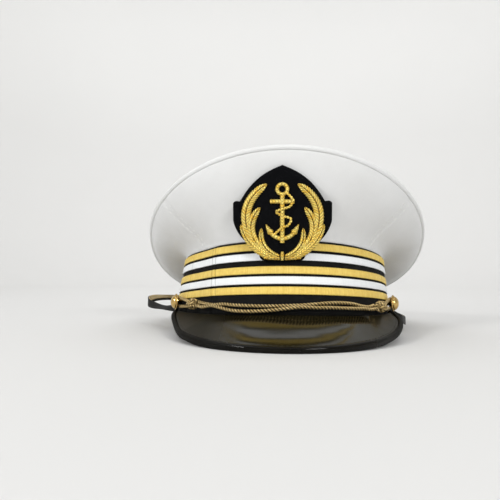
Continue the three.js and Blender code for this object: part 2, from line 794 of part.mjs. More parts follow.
// Lower edge: an oval belly with a narrow flat foot
function badgeBottom(x) {
  const side = Math.abs(x);
  const belly = -badgeBelly * Math.sqrt(1 - (side / badgeBellyWidth) ** 2);
  const pastFoot = Math.max(side - badgeFootHalfWidth, 0) / badgeFootRound;
  if (pastFoot > 1) {
    return belly;
  }
  return Math.min(belly, badgeFoot + badgeFootRound * (1 - Math.sqrt(1 - pastFoot ** 2)));
}

function makeBadgeBacking() {
  const place = (i, j, side) => {
    const x = badgeHalfWidth * ((2 * i) / badgeColumns - 1);
    const low = badgeBottom(x);
    return badgeToCap(new THREE.Vector3(x, low + j * (badgeTop(x) - low), (1 - side) * badgeThickness));
  };
  addPiece("badge_backing", wallGeometry(badgeColumns, 1, place, false), "blackCloth");
}

// A raised stitched ridge with a flat base along a path in the badge's plane.
// halfAt and heightAt give its half width and height at a share of the path; vein sinks its middle.
function ridgeGeometry(path, steps, halfAt, heightAt, vein) {
  const base = badgeThickness + seat;
  const outline = [[-1, 0], [-0.62, 0.85], [0, 1], [0.62, 0.85], [1, 0]];
  const flat = outline.map(([x, y]) => new THREE.Vector2(x, y));
  const sectionAt = (i) => {
    const share = i / steps;
    const middle = path.getPoint(share);
    const ahead = path.getTangent(share);
    const half = halfAt(share);
    const height = heightAt(share);
    return outline.map(([across, up]) => {
      const lift = across === 0 ? up - vein : up;
      const x = middle.x + ahead.y * across * half;
      const y = middle.y - ahead.x * across * half;
      return new THREE.Vector3(x, y, base + lift * height);
    });
  };
  return sweepGeometry(steps, flat, sectionAt, false);
}

function makeAnchor() {
  const bar = (path, steps, half, height) => ridgeGeometry(path, steps, () => half, () => height, 0);
  const line = (x0, y0, x1, y1) => new THREE.LineCurve(new THREE.Vector2(x0, y0), new THREE.Vector2(x1, y1));
  const arc = (from, to) => {
    return new THREE.EllipseCurve(0, anchorRingMiddle, anchorRingRadius, anchorRingRadius, from, to);
  };
  const anchorShankTop = anchorRingMiddle - anchorRingRadius + anchorShankRise;
  const pieces = [
    bar(line(0, anchorShankTop, 0, anchorCrown - anchorBill), 1, anchorBar, anchorHeight),
    bar(
      line(-anchorStockReach, anchorStockHeight, anchorStockReach, anchorStockHeight),
      1,
      anchorBar,
      anchorStockLift,
    ),
    bar(arc(-anchorRingOverlap, Math.PI + anchorRingOverlap), 8, anchorRingBar, anchorRingLift),
    bar(arc(Math.PI, 2 * Math.PI), 6, anchorRingBar, anchorRingLift - small),
  ];
  const armHalf = (share) => anchorBar - anchorArm.taper * share ** 4;
  const palmHalf = (share) => {
    return anchorPalm.point + anchorPalm.half * Math.min(share / anchorPalm.barb, 1) * (1 - share);
  };
  for (const side of [-1, 1]) {
    const crown = new THREE.Vector2(0, anchorCrown);
    const bend = new THREE.Vector2(side * anchorArm.bendX, anchorCrown + anchorArm.bendUp);
    const tip = new THREE.Vector2(side * anchorArmReach, anchorArmTip);
    const arm = new THREE.QuadraticBezierCurve(crown, bend, tip);
    pieces.push(ridgeGeometry(arm, 6, armHalf, () => anchorArm.lift, 0));
    const palmTip = new THREE.Vector2(side * anchorPalm.tipX, anchorPalm.tipY);
    const palm = new THREE.QuadraticBezierCurve(
      arm.getPoint(anchorPalm.from),
      arm.getPoint(anchorPalm.bend),
      palmTip,
    );
    pieces.push(ridgeGeometry(palm, 5, palmHalf, () => anchorPalm.lift, 0));
  }
  const cable = new THREE.SplineCurve(cableRoute.map(({ x, y }) => new THREE.Vector2(x, y)));
  const cableLift = (share) => {
    return cableHeight + (cableOverHeight - cableHeight) * columnAt(cableRoute, "over", share);
  };
  pieces.push(ridgeGeometry(cable, 18, () => cableBar, cableLift, 0));
  addPiece("badge_anchor", bendOntoCap(joined(pieces)), "bullion");
}

// A leaf's width along it: blunt at the tip, widest past its middle
function leafShare(share) {
  const swell = Math.sin(Math.PI * (leafSwell.start + leafSwell.span * share)) ** leafSwell.power;
  return leafTip + (1 - leafTip) * swell;
}

function makeWreath() {
  for (const [name, side] of [["left", -1], ["right", 1]]) {
    const pieces = leaves.map((leaf) => {
      const tip = new THREE.Vector2(side * leaf.tipX, leaf.tipY);
      const base = new THREE.Vector2(side * leaf.baseX, leaf.baseY);
      const along = base.clone().sub(tip).normalize();
      const outward = new THREE.Vector2(-along.y * side, along.x * side);
      const bend = tip.clone().add(base).multiplyScalar(0.5).addScaledVector(outward, 2 * leaf.bow);
      const path = new THREE.QuadraticBezierCurve(tip, bend, base);
      const half = (share) => leaf.half * leafShare(share);
      return ridgeGeometry(path, 6, half, () => leafHeight, leafVein);
    });
    const stemHalf = (share) => stemHalfWidth - stemTaper * share ** 2;
    const stem = new THREE.LineCurve(
      new THREE.Vector2(side * (tieHalfWidth + 2 * seat), stemHeight),
      new THREE.Vector2(side * stemHalfLength, stemHeight),
    );
    pieces.push(ridgeGeometry(stem, 3, stemHalf, () => stemLift, 0));
    addPiece(`badge_wreath_${name}`, bendOntoCap(joined(pieces)), "bullion");
  }
}

function makeTie() {
  const path = new THREE.LineCurve(new THREE.Vector2(0, tieTop), new THREE.Vector2(0, tieFoot));
  const half = (share) => tieHalfWidth * (1 - tieBulge + tieBulge * Math.sin(Math.PI * share));
  addPiece("badge_tie", bendOntoCap(ridgeGeometry(path, 4, half, () => tieLift, 0)), "bullion");
}

makeBand();
makeBraid();
makeCrownTop();
makeCrownPanels();
makePiping();
makePeak();
makePeakBinding();
makeCords();
makeKnots();
makeLoops();
makeButtons();
makeStrap();
makeBadgeBacking();
makeAnchor();
makeWreath();
makeTie();

// Tip the cap onto its peak and rear hem, then put the middle of its box over the origin
cap.rotation.x = -restTilt;
const peakedCap = new THREE.Group();
peakedCap.add(cap);
const box = new THREE.Box3().setFromObject(peakedCap, true);
cap.position.set(-(box.min.x + box.max.x) / 2, -(box.min.y + box.max.y) / 2, -box.min.z);

export default peakedCap;
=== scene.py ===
import bpy
import numpy as np
from mathutils import Matrix


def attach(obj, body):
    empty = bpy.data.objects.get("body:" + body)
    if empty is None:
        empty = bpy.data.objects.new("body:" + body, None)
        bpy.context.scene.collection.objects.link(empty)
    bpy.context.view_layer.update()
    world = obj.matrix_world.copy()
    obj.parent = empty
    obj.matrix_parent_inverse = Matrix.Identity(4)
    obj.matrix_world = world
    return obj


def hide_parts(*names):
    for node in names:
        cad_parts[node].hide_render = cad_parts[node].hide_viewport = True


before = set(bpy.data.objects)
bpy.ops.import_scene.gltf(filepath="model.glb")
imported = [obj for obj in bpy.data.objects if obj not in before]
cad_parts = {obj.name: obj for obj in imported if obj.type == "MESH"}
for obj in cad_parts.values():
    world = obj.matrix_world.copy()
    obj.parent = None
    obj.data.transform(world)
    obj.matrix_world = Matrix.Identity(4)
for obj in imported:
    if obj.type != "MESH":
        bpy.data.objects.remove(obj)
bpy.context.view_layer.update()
print("frame loaded")

# Sizes are millimetres in the cap's own frame: hem in z = 0, front at -Y, angles from the front.
capRest = {"tilt": 6.0, "forward": 0.73357, "lift": 9.76684}
tinyStep = 1e-3   # for slopes
edgeSteps = 4   # points round each edge of a sheet
straightUp = np.array([0.0, 0.0, 1.0])


def toRow(points):
    # tips the cap about X by its tilt, lifts it onto the floor, and turns millimetres into metres
    tilt = np.radians(capRest["tilt"])
    x, y, z = np.moveaxis(points, -1, 0)
    forward = y * np.cos(tilt) + z * np.sin(tilt) + capRest["forward"]
    upward = z * np.cos(tilt) - y * np.sin(tilt) + capRest["lift"]
    return np.stack([x, forward, upward], -1) / 1000


def unit(vectors):
    # each vector divided by its own length
    return vectors / np.maximum(np.linalg.norm(vectors, axis=-1, keepdims=True), 1e-12)


def stack(*parts):
    # the parts side by side along a new last axis
    return np.stack(np.broadcast_arrays(*parts), -1)


def evenTurn(count):
    # the angles of a whole turn, without the last one, which meets the first
    return np.linspace(0, 2 * np.pi, count, endpoint=False)


def wholeTurn(turn):
    # adds the full turn, where the uv map meets its start
    return np.append(turn, 2 * np.pi)


def lastAgain(line):
    # repeats the last value, which the uv map of an open end needs
    return np.append(line, line[-1])


def ringOf(turn, first, second):
    # the cosine of each angle along one direction plus its sine along the other
    return np.cos(turn)[:, None] * first[..., None, :] + np.sin(turn)[:, None] * second[..., None, :]


def squarish(wave, power):
    # a power of the wave's size, with its sign kept: a low power makes a round section squarer
    return np.sign(wave) * np.abs(wave) ** power


def bell(distance, width):
    # one in the middle, falling off on both sides as e to the minus square
    return np.exp(-((distance / width) ** 2))


def runLength(path):
    # how far along the path each of its points lies
    return np.concatenate([[0], np.cumsum(np.linalg.norm(np.diff(path, axis=0), axis=1))])


def titled(name):
    # gold_bottom becomes GoldBottom
    return name.replace("_", " ").title().replace(" ", "")


# Mesh making

def fanFaces(ring, centre, forward):
    # triangles from a ring of corners to one centre point
    after = np.roll(ring, -1)
    first, second = (ring, after) if forward else (after, ring)
    return np.stack([np.full_like(ring, centre), first, second], -1)


def ladderFaces(ring, forward, roll):
    # quads across a flat or round end, from one side of its ring of corners to the other
    ring = np.roll(ring, roll)
    near, far = ring[:len(ring) // 2], ring[::-1][:len(ring) // 2]
    faces = np.stack([near[:-1], near[1:], far[1:], far[:-1]], -1)
    return faces if forward else faces[:, ::-1]


def gridSkin(points, uLine, vLine, wrap, roll=0):
    # quads between neighbours of a grid that wraps along u, v or both; an open end along u is closed
    # by a ladder of quads and one along v by a fan
    rows, columns = points.shape[:2]
    i, j = np.indices((rows - ("u" not in wrap), columns - ("v" not in wrap))).reshape(2, -1)
    corners = [(i, j), (i + 1, j), (i + 1, j + 1), (i, j + 1)]
    quads = np.stack([(a % rows) * columns + b % columns for a, b in corners], -1)
    quadUv = np.stack([stack(uLine[a], vLine[b]) for a, b in corners], 1)
    vertices = points.reshape(-1, 3)
    vertexUv = stack(uLine[:rows, None], vLine[None, :columns]).reshape(-1, 2)
    number = np.arange(rows * columns).reshape(rows, columns)
    fans = np.zeros((0, 3), int)
    if "u" not in wrap:
        ends = np.concatenate([ladderFaces(number[0], True, roll), ladderFaces(number[-1], False, roll)])
        quads, quadUv = np.concatenate([quads, ends]), np.concatenate([quadUv, vertexUv[ends]])
    if "v" not in wrap:
        near, far = number[:, 0], number[:, -1]
        last = len(vertices)
        fans = np.concatenate([fanFaces(near, last, False), fanFaces(far, last + 1, True)])
        vertices = np.vstack([vertices, vertices[near].mean(0), vertices[far].mean(0)])
        vertexUv = np.vstack([vertexUv, vertexUv[near].mean(0), vertexUv[far].mean(0)])
    fanUv = vertexUv[fans]
    a, b, c, d = [vertices[quads[:, k]] for k in range(4)]
    e, f, g = [vertices[fans[:, k]] for k in range(3)]
    volume = np.sum(np.cross(a, b) * c) + np.sum(np.cross(a, c) * d) + np.sum(np.cross(e, f) * g)
    if volume < 0:   # turn the skin so that its faces point outwards
        quads, quadUv, fans, fanUv = [faces[:, ::-1] for faces in (quads, quadUv, fans, fanUv)]
    return vertices, quads, quadUv, fans, fanUv


def addPiece(name, skins, material, slot, *nodes, shade=None):
    # joins one or more grid skins into one mesh piece with its own uv map, in the row frame; shade is a
    # value at each vertex that its material darkens by
    vertices, quads, quadUv, fans, fanUv = zip(*skins)
    starts = np.cumsum([0] + [len(part) for part in vertices])
    faces = []
    for kind in (quads, fans):
        faces += np.concatenate([part + start for part, start in zip(kind, starts)]).tolist()
    mesh = bpy.data.meshes.new(name)
    mesh.from_pydata(toRow(np.concatenate(vertices)), [], faces)
    uv = np.concatenate([part.reshape(-1, 2) for part in quadUv + fanUv]).astype(np.float32)
    mesh.uv_layers.new(name="pieceUv").data.foreach_set("uv", uv.ravel())
    if shade is not None:
        mesh.attributes.new("creaseShade", "FLOAT", "POINT").data.foreach_set("value", shade.ravel())
    mesh.shade_smooth()
    mesh.materials.append(material)
    piece = bpy.data.objects.new(name, mesh)
    bpy.context.scene.collection.objects.link(piece)
    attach(piece, "root")
    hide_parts(*nodes)


def smoothPath(knots, count, perKnot=60):
    # a Catmull-Rom curve through the knots, then points at even spacing along it
    knots = np.asarray(knots, float)
    held = np.vstack([2 * knots[0] - knots[1], knots, 2 * knots[-1] - knots[-2]])
    share = np.linspace(0, len(knots) - 1, perKnot * len(knots))
    k = np.minimum(share.astype(int), len(knots) - 2)
    f = (share - k)[:, None]
    a, b, c, d = held[k], held[k + 1], held[k + 2], held[k + 3]
    line = b + 0.5 * f * (c - a + f * (2 * a - 5 * b + 4 * c - d + f * (3 * (b - c) + d - a)))
    far = runLength(line[:, :3])
    even = np.linspace(0, far[-1], count)
    return np.stack([np.interp(even, far, values) for values in line.T], -1), even


def squareTo(ahead, outward):
    # the outward direction made square to the one ahead, and the one across both
    out = unit(outward - np.sum(outward * ahead, -1, keepdims=True) * ahead)
    return out, np.cross(ahead, out)


def ropeSkin(path, far, out, across, rope, wrap="v", stretch=1.0):
    # a tube whose round section has one lobe for each ply, turned steadily along the path; stretch
    # scales its uv map along the path
    turn = evenTurn(rope["sides"])
    phase = rope["plies"] * (turn[None, :] - 2 * np.pi * far[:len(path), None] / rope["pitch"])
    lobe = np.abs(np.sin(phase / 2)) ** rope["lobe"]
    radius = rope["radius"] * (1 - rope["groove"] * (1 - lobe))
    points = path[:, None] + radius[..., None] * ringOf(turn, out, across)
    uLine = lastAgain(far)[:len(path) + 1] * stretch
    return gridSkin(points, uLine, np.linspace(0, 1, rope["sides"] + 1), wrap)


def surfaceSlopes(surface, u, v):
    # small steps along both parameters of a surface: its slope along v, and its normal
    alongU = surface(u + tinyStep, v) - surface(u - tinyStep, v)
    alongV = surface(u, v + tinyStep) - surface(u, v - tinyStep)
    return unit(alongV), unit(np.cross(alongU, alongV))


def sheetSkin(surface, u, v, thickness):
    # a surface given both faces: out along its normal, round each edge in half a circle, and back
    half = thickness / 2
    bend = np.linspace(-np.pi / 2, np.pi / 2, edgeSteps + 2)[1:-1]
    zero = np.zeros_like(v)
    vAll = np.concatenate([v, np.full(edgeSteps, v[-1]), v[::-1], np.full(edgeSteps, v[0])])
    lift = np.concatenate([zero + half, -half * np.sin(bend), zero - half, half * np.sin(bend)])
    past = np.concatenate([zero, half * np.cos(bend), zero, -half * np.cos(bend)])
    alongV, normal = surfaceSlopes(surface, u[:, None], vAll[None, :])
    points = surface(u[:, None], vAll[None, :]) + normal * lift[:, None] + alongV * past[:, None]
    return points, np.append(u, 2 * u[-1] - u[-2]), np.append(vAll, v[0])


# Node helpers

wideSpan = (0.3, 0.7)   # the middle stretch of a noise that is spread from end to end
midSpan = (0.35, 0.65)
gapTop = 0.6   # height of the weave above which no gap shows


def addNode(tree, kind, inputs=None, **settings):
    # one node with its settings; an input is a value or the socket that feeds it
    made = tree.nodes.new(kind)
    for key, value in settings.items():
        setattr(made, key, value)
    for key, value in (inputs or {}).items():
        if isinstance(value, bpy.types.NodeSocket):
            tree.links.new(value, made.inputs[key])
        else:
            made.inputs[key].default_value = value
    return made


def mathNode(tree, operation, first, second=0.0, third=0.0):
    # one Math node and its result
    return addNode(tree, "ShaderNodeMath", {0: first, 1: second, 2: third}, operation=operation).outputs[0]


def mixColour(tree, share, first, second):
    # the first colour where the share is 0 and the second where it is 1
    return addNode(tree, "ShaderNodeMix", {0: share, 6: first, 7: second}, data_type="RGBA").outputs[2]


def ranged(tree, value, low, high, toLow=0.0, toHigh=1.0):
    # low to high spread onto another range, and held at its ends
    return addNode(tree, "ShaderNodeMapRange", {0: value, 1: low, 2: high, 3: toLow, 4: toHigh}).outputs[0]


def noise(tree, vector, scale, detail):
    # a noise value at each point of the vector
    inputs = {"Vector": vector, "Scale": scale, "Detail": detail}
    return addNode(tree, "ShaderNodeTexNoise", inputs).outputs[0]


def axesOf(tree, vector):
    # the three parts of a vector
    return addNode(tree, "ShaderNodeSeparateXYZ", {0: vector}).outputs


def newGroup(name, values, results):
    # a group with a vector input, number inputs with their usual values, and number outputs
    group = bpy.data.node_groups.new(name, "ShaderNodeTree")
    sockets = group.interface
    sockets.new_socket("Vector", in_out="INPUT", socket_type="NodeSocketVector")
    for title, value in values.items():
        sockets.new_socket(title, in_out="INPUT", socket_type="NodeSocketFloat").default_value = value
    for title in results:
        sockets.new_socket(title, in_out="OUTPUT", socket_type="NodeSocketFloat")
    return group, group.nodes.new("NodeGroupInput").outputs


def putOut(group, results):
    # links the results to the outputs of the group
    out = group.nodes.new("NodeGroupOutput").inputs
    for title, value in results.items():
        group.links.new(value, out[title])
    return group


def makeWeave():
    # plain weave: two crossed sine waves multiplied, and a slow noise for the tone of its threads
    group, put = newGroup("clothWeave", {"Thread": 0.4, "Patch": 14.0}, ("Height", "Tone"))
    scale = mathNode(group, "DIVIDE", np.pi, put["Thread"])
    spread = addNode(group, "ShaderNodeVectorMath", {0: put["Vector"], 3: scale}, operation="SCALE")
    axes = axesOf(group, spread.outputs[0])
    warp, weft = mathNode(group, "SINE", axes[0]), mathNode(group, "SINE", axes[1])
    crossed = mathNode(group, "MULTIPLY", warp, weft)
    patchScale = mathNode(group, "DIVIDE", 1.0, put["Patch"])
    return putOut(group, {
        "Height": mathNode(group, "MULTIPLY_ADD", crossed, 0.5, 0.5),
        "Tone": noise(group, put["Vector"], patchScale, 4.0),
    })


def makeStitchLines():
    # rounded threads side by side: the share of each pitch along a slanted line, as a half-round height
    usual = {"Pitch": 0.6, "Slant": 0.0, "Uneven": 0.1, "Full": 0.62}
    group, put = newGroup("stitchLines", usual, ("Height", "Gap", "Tone"))
    axes = axesOf(group, put["Vector"])
    side = mathNode(group, "ABSOLUTE", axes[1])
    along = mathNode(group, "MULTIPLY_ADD", side, put["Slant"], axes[0])
    along = mathNode(group, "MULTIPLY_ADD", noise(group, put["Vector"], 0.9, 2.0), put["Uneven"], along)
    count = mathNode(group, "DIVIDE", along, put["Pitch"])
    part = mathNode(group, "FRACT", count)
    away = mathNode(group, "ABSOLUTE", mathNode(group, "MULTIPLY_ADD", part, 2.0, -1.0))
    fall = mathNode(group, "MULTIPLY_ADD", mathNode(group, "MULTIPLY", away, away), -0.99, 1.0)
    number = mathNode(group, "FLOOR", count)
    return putOut(group, {
        "Height": mathNode(group, "SQRT", fall),
        "Gap": ranged(group, away, put["Full"], 1.0),
        "Tone": addNode(group, "ShaderNodeTexWhiteNoise", {"W": number}, noise_dimensions="1D").outputs[0],
    })


def makeUneven():
    # slow and fine noise together, for uneven colour and gloss
    group, put = newGroup("unevenTone", {"Size": 0.02, "Fine": 0.3}, ("Mask",))
    scale = mathNode(group, "DIVIDE", 1.0, put["Size"])
    slow = noise(group, put["Vector"], scale, 3.0)
    fine = noise(group, put["Vector"], mathNode(group, "MULTIPLY", scale, 9.0), 5.0)
    mixed = addNode(group, "ShaderNodeMix", {0: put["Fine"], 2: slow, 3: fine}).outputs[0]
    return putOut(group, {"Mask": mixed})


clothWeave = makeWeave()
stitchLines = makeStitchLines()
unevenTone = makeUneven()
print("node groups made")


def newMaterial(name, constants):
    # a material with its fixed values set on its own shader
    material = bpy.data.materials.new(name)
    material.use_nodes = True
    for key, value in constants.items():
        material.node_tree.nodes["Principled BSDF"].inputs[key].default_value = value
    return material, material.node_tree


def feed(tree, key, value):
    # links a value to one socket of the shader
    tree.links.new(value, tree.nodes["Principled BSDF"].inputs[key])


def finishMaterial(tree, colour, rough, height, depth):
    # colour and roughness go to the shader, and a height to its bump
    feed(tree, "Base Color", colour)
    feed(tree, "Roughness", rough)
    feed(tree, "Normal", addNode(tree, "ShaderNodeBump", {"Height": height, "Distance": depth}).outputs[0])


def uvOf(tree):
    # the piece's own uv map
    return addNode(tree, "ShaderNodeUVMap", uv_map="pieceUv").outputs[0]


def placeOf(tree):
    # the place on the object, in metres
    return addNode(tree, "ShaderNodeTexCoord").outputs["Object"]


def useGroup(tree, group, inputs):
    # one use of a shared group
    return addNode(tree, "ShaderNodeGroup", inputs, node_tree=group).outputs


def unevenOf(tree, size, fine):
    # the uneven tone at the place on the object
    return useGroup(tree, unevenTone, {"Vector": placeOf(tree), "Size": size, "Fine": fine})["Mask"]


# Cloth

def clothMaterial(name, look):
    # woven cloth: thread pattern in the uv map's millimetres, uneven tone in slow patches
    material, tree = newMaterial(name, look["constants"])
    threads = {"Vector": uvOf(tree), "Thread": look["thread"], "Patch": look["patch"]}
    weave = useGroup(tree, clothWeave, threads)
    mottle = unevenOf(tree, look["mottleSize"], look["fine"])
    ground = mixColour(tree, ranged(tree, mottle, *wideSpan), look["dark"], look["pale"])
    # painted shade between the threads: the colour darkens towards the gap colour where the weave is low
    gap = ranged(tree, weave["Height"], 0.0, gapTop, look["gapShade"], 0.0)
    rough = ranged(tree, weave["Tone"], *wideSpan, *look["rough"])
    finishMaterial(tree, mixColour(tree, gap, ground, look["gap"]), rough, weave["Height"], look["depth"])
    return material


whiteLook = {
    "constants": {"Sheen Weight": 0.12, "Sheen Roughness": 0.5, "Specular IOR Level": 0.3},
    "thread": 0.42, "patch": 30.0, "mottleSize": 0.045, "fine": 0.25, "depth": 0.00008,
    "pale": (0.78, 0.785, 0.785, 1), "dark": (0.71, 0.712, 0.705, 1), "gap": (0.5, 0.5, 0.49, 1),
    "gapShade": 0.35, "rough": (0.72, 0.85),
}
blackLook = {
    "constants": {"Sheen Weight": 0.02, "Sheen Roughness": 0.45, "Specular IOR Level": 0.15},
    "thread": 0.5, "patch": 9.0, "mottleSize": 0.012, "fine": 0.6, "depth": 0.0001,
    "pale": (0.0075, 0.0075, 0.0072, 1), "dark": (0.004, 0.004, 0.0038, 1),
    "gap": (0.0015, 0.0015, 0.0015, 1), "gapShade": 0.6, "rough": (0.8, 0.95),
}
badgeLook = {
    "constants": {"Sheen Weight": 0.01, "Sheen Roughness": 0.4, "Specular IOR Level": 0.05},
    "thread": 0.6, "patch": 6.0, "mottleSize": 0.0025, "fine": 0.8, "depth": 0.00015,
    "pale": (0.0055, 0.0058, 0.0068, 1), "dark": (0.0018, 0.002, 0.0026, 1),
    "gap": (0.0008, 0.0008, 0.0008, 1), "gapShade": 0.5, "rough": (0.85, 0.98),
}
whiteCloth = clothMaterial("whiteDrill", whiteLook)
blackCloth = clothMaterial("blackWool", blackLook)
badgeCloth = clothMaterial("badgeFelt", badgeLook)


# Braid, embroidery and cord

def braidMaterial(name, look):
    # lace: fine ribs across the row with painted shade between them, so brighter on their backs, with dark
    # notches along both edges
    material, tree = newMaterial(name, look["constants"])
    vector = uvOf(tree)
    ribShape = {key: look[key.lower()] for key in ("Pitch", "Slant", "Uneven")}
    ribs = useGroup(tree, stitchLines, {"Vector": vector, **ribShape})
    edge = mathNode(tree, "ABSOLUTE", axesOf(tree, vector)[1])
    notch = mathNode(tree, "MULTIPLY_ADD", ribs["Gap"], look["notch"], edge)
    dark = ranged(tree, notch, look["edgeFrom"], look["edgeTo"])
    mottle = unevenOf(tree, look["mottleSize"], look["fine"])
    # partly the lace's own uneven tone, partly painted sparkle: the colour swings between deep and bright
    # gold in small patches
    ground = mixColour(tree, ranged(tree, mottle, *midSpan), look["deep"], look["bright"])
    # painted shade between the ribs: each rib darkens towards the gap colour at its sides
    thread = mixColour(tree, mathNode(tree, "MULTIPLY", ribs["Gap"], look["gapShade"]), ground, look["gap"])
    # painted glint: each rib, by its own random share, is lifted towards the bright glint colour
    paintedGlint = mixColour(tree, ranged(tree, ribs["Tone"], 0.0, 1.0, 0.0, look["paintedGlint"]), thread, look["glint"])
    # painted shade in the creases of the band: the colour darkens towards the edge colour by the crease value
    # each vertex carries
    crease = addNode(tree, "ShaderNodeAttribute", attribute_name="creaseShade").outputs["Fac"]
    shadedInCreases = mixColour(tree, crease, paintedGlint, look["edge"])
    rough = ranged(tree, mottle, *wideSpan, *look["rough"])
    finishMaterial(tree, mixColour(tree, dark, shadedInCreases, look["edge"]), rough, ribs["Height"], look["depth"])
    return material


goldBraidLook = {
    "constants": {"Metallic": 0.15, "Specular IOR Level": 0.4},
    "pitch": 0.55, "slant": 0.25, "uneven": 0.25, "notch": 0.12, "edgeFrom": 0.93, "edgeTo": 1.02,
    "mottleSize": 0.002, "fine": 0.55, "bright": (0.92, 0.69, 0.145, 1), "deep": (0.76, 0.49, 0.08, 1),
    "gap": (0.45, 0.26, 0.03, 1), "gapShade": 0.4, "glint": (1.0, 0.8, 0.26, 1), "paintedGlint": 0.35,
    "edge": (0.05, 0.03, 0.01, 1), "rough": (0.38, 0.52), "depth": 0.00018,
}
silverBraidLook = dict(
    goldBraidLook, constants={"Metallic": 0.05, "Specular IOR Level": 0.4}, rough=(0.42, 0.55),
    depth=0.00014, bright=(0.92, 0.94, 0.95, 1), deep=(0.84, 0.87, 0.89, 1), gap=(0.5, 0.52, 0.55, 1),
    gapShade=0.25, glint=(0.96, 0.97, 0.98, 1), paintedGlint=0.4, edge=(0.05, 0.05, 0.055, 1),
)
goldBraid = braidMaterial("goldLace", goldBraidLook)
silverBraid = braidMaterial("silverLace", silverBraidLook)


def bullionMaterial(name, look):
    # wire stitches side by side: each has its own tone, bright on its back, with painted shade in amber in
    # the gaps;
    # a leaf has painted shade along its vein
    material, tree = newMaterial(name, look["constants"])
    vector = uvOf(tree)
    wireShape = {key: look[key.lower()] for key in ("Pitch", "Slant", "Uneven", "Full")}
    wires = useGroup(tree, stitchLines, {"Vector": vector, **wireShape})
    mottle = unevenOf(tree, look["mottleSize"], look["fine"])
    ground = mixColour(tree, wires["Tone"], look["deep"], look["bright"])
    colour = mixColour(tree, ranged(tree, mottle, *look["worn"], 0.0, look["tarnish"]), ground, look["dull"])
    if look["veinShade"]:
        # painted shade along the vein: the colour darkens towards the gap colour near the middle of the leaf
        across = mathNode(tree, "ABSOLUTE", axesOf(tree, vector)[1])
        vein = ranged(tree, across, look["veinFrom"], look["veinTo"], look["veinShade"], 0.0)
        colour = mixColour(tree, vein, colour, look["gap"])
    # painted shade between the wires: each darkens towards the gap colour at its sides
    gap = mathNode(tree, "MULTIPLY", wires["Gap"], look["gapShade"])
    colour = mixColour(tree, gap, colour, look["gap"])
    rough = ranged(tree, mottle, *wideSpan, *look["rough"])
    finishMaterial(tree, colour, rough, wires["Height"], look["depth"])
    return material


bullionLook = {
    "constants": {"Metallic": 0.4, "Specular IOR Level": 0.5},
    "pitch": 1.9, "slant": 0.9, "uneven": 0.4, "full": 0.4, "mottleSize": 0.003, "fine": 0.5,
    "bright": (1.0, 0.82, 0.22, 1), "deep": (0.94, 0.62, 0.08, 1), "dull": (0.45, 0.22, 0.02, 1),
    "worn": (0.45, 0.7), "tarnish": 0.45, "gap": (0.1, 0.04, 0.003, 1), "gapShade": 0.72,
    "rough": (0.22, 0.36), "depth": 0.00035, "veinShade": 0.0,
}
leafLook = dict(bullionLook, veinFrom=0.12, veinTo=0.5, veinShade=0.9)
# the cord's near-black gap colour is painted shade in the grooves between its plies
cordLook = dict(
    bullionLook, constants={"Metallic": 0.5, "Specular IOR Level": 0.5}, pitch=2.2, slant=-4.4, uneven=0.1,
    full=0.2, mottleSize=0.005, bright=(0.74, 0.55, 0.25, 1), deep=(0.52, 0.37, 0.145, 1),
    dull=(0.26, 0.16, 0.05, 1), tarnish=0.4, gap=(0.004, 0.002, 0.0006, 1), gapShade=1.0, rough=(0.3, 0.45),
    depth=0.0003,
)
bullion = bullionMaterial("goldBullion", bullionLook)
leafBullion = bullionMaterial("leafBullion", leafLook)
goldCord = bullionMaterial("antiqueCord", cordLook)


# Leather, gilt and thread

def leatherMaterial(name, look):
    # smooth leather: fine pores by a cell pattern, waves that bend its reflections, and a finish that
    # grows duller towards the two sides of the cap, where any lacquer thins out too
    material, tree = newMaterial(name, look["constants"])
    place = placeOf(tree)
    mottle = unevenOf(tree, look["mottleSize"], look["fine"])
    colour = mixColour(tree, ranged(tree, mottle, *midSpan), look["dark"], look["pale"])
    fromMiddle = mathNode(tree, "SUBTRACT", axesOf(tree, place)[0], look["dullMiddle"])
    sideways = mathNode(tree, "ABSOLUTE", fromMiddle)
    dulled = ranged(tree, sideways, look["dullFrom"], look["dullTo"], 0.0, look["dull"])
    rough = mathNode(tree, "ADD", ranged(tree, mottle, *wideSpan, *look["rough"]), dulled)
    if look["lacquer"]:
        lacquer = ranged(tree, sideways, look["dullFrom"], look["dullTo"], look["lacquer"], 0.0)
        feed(tree, "Coat Weight", lacquer)
    pores = addNode(tree, "ShaderNodeTexVoronoi", {"Vector": place, "Scale": look["poreScale"]}).outputs[0]
    drawn = addNode(tree, "ShaderNodeVectorMath", {0: place, 1: look["waveScale"]}, operation="MULTIPLY")
    waves = noise(tree, drawn.outputs[0], 1.0, 1.0)
    height = mathNode(tree, "MULTIPLY_ADD", pores, look["poreShare"], waves)
    finishMaterial(tree, colour, rough, height, look["depth"])
    return material


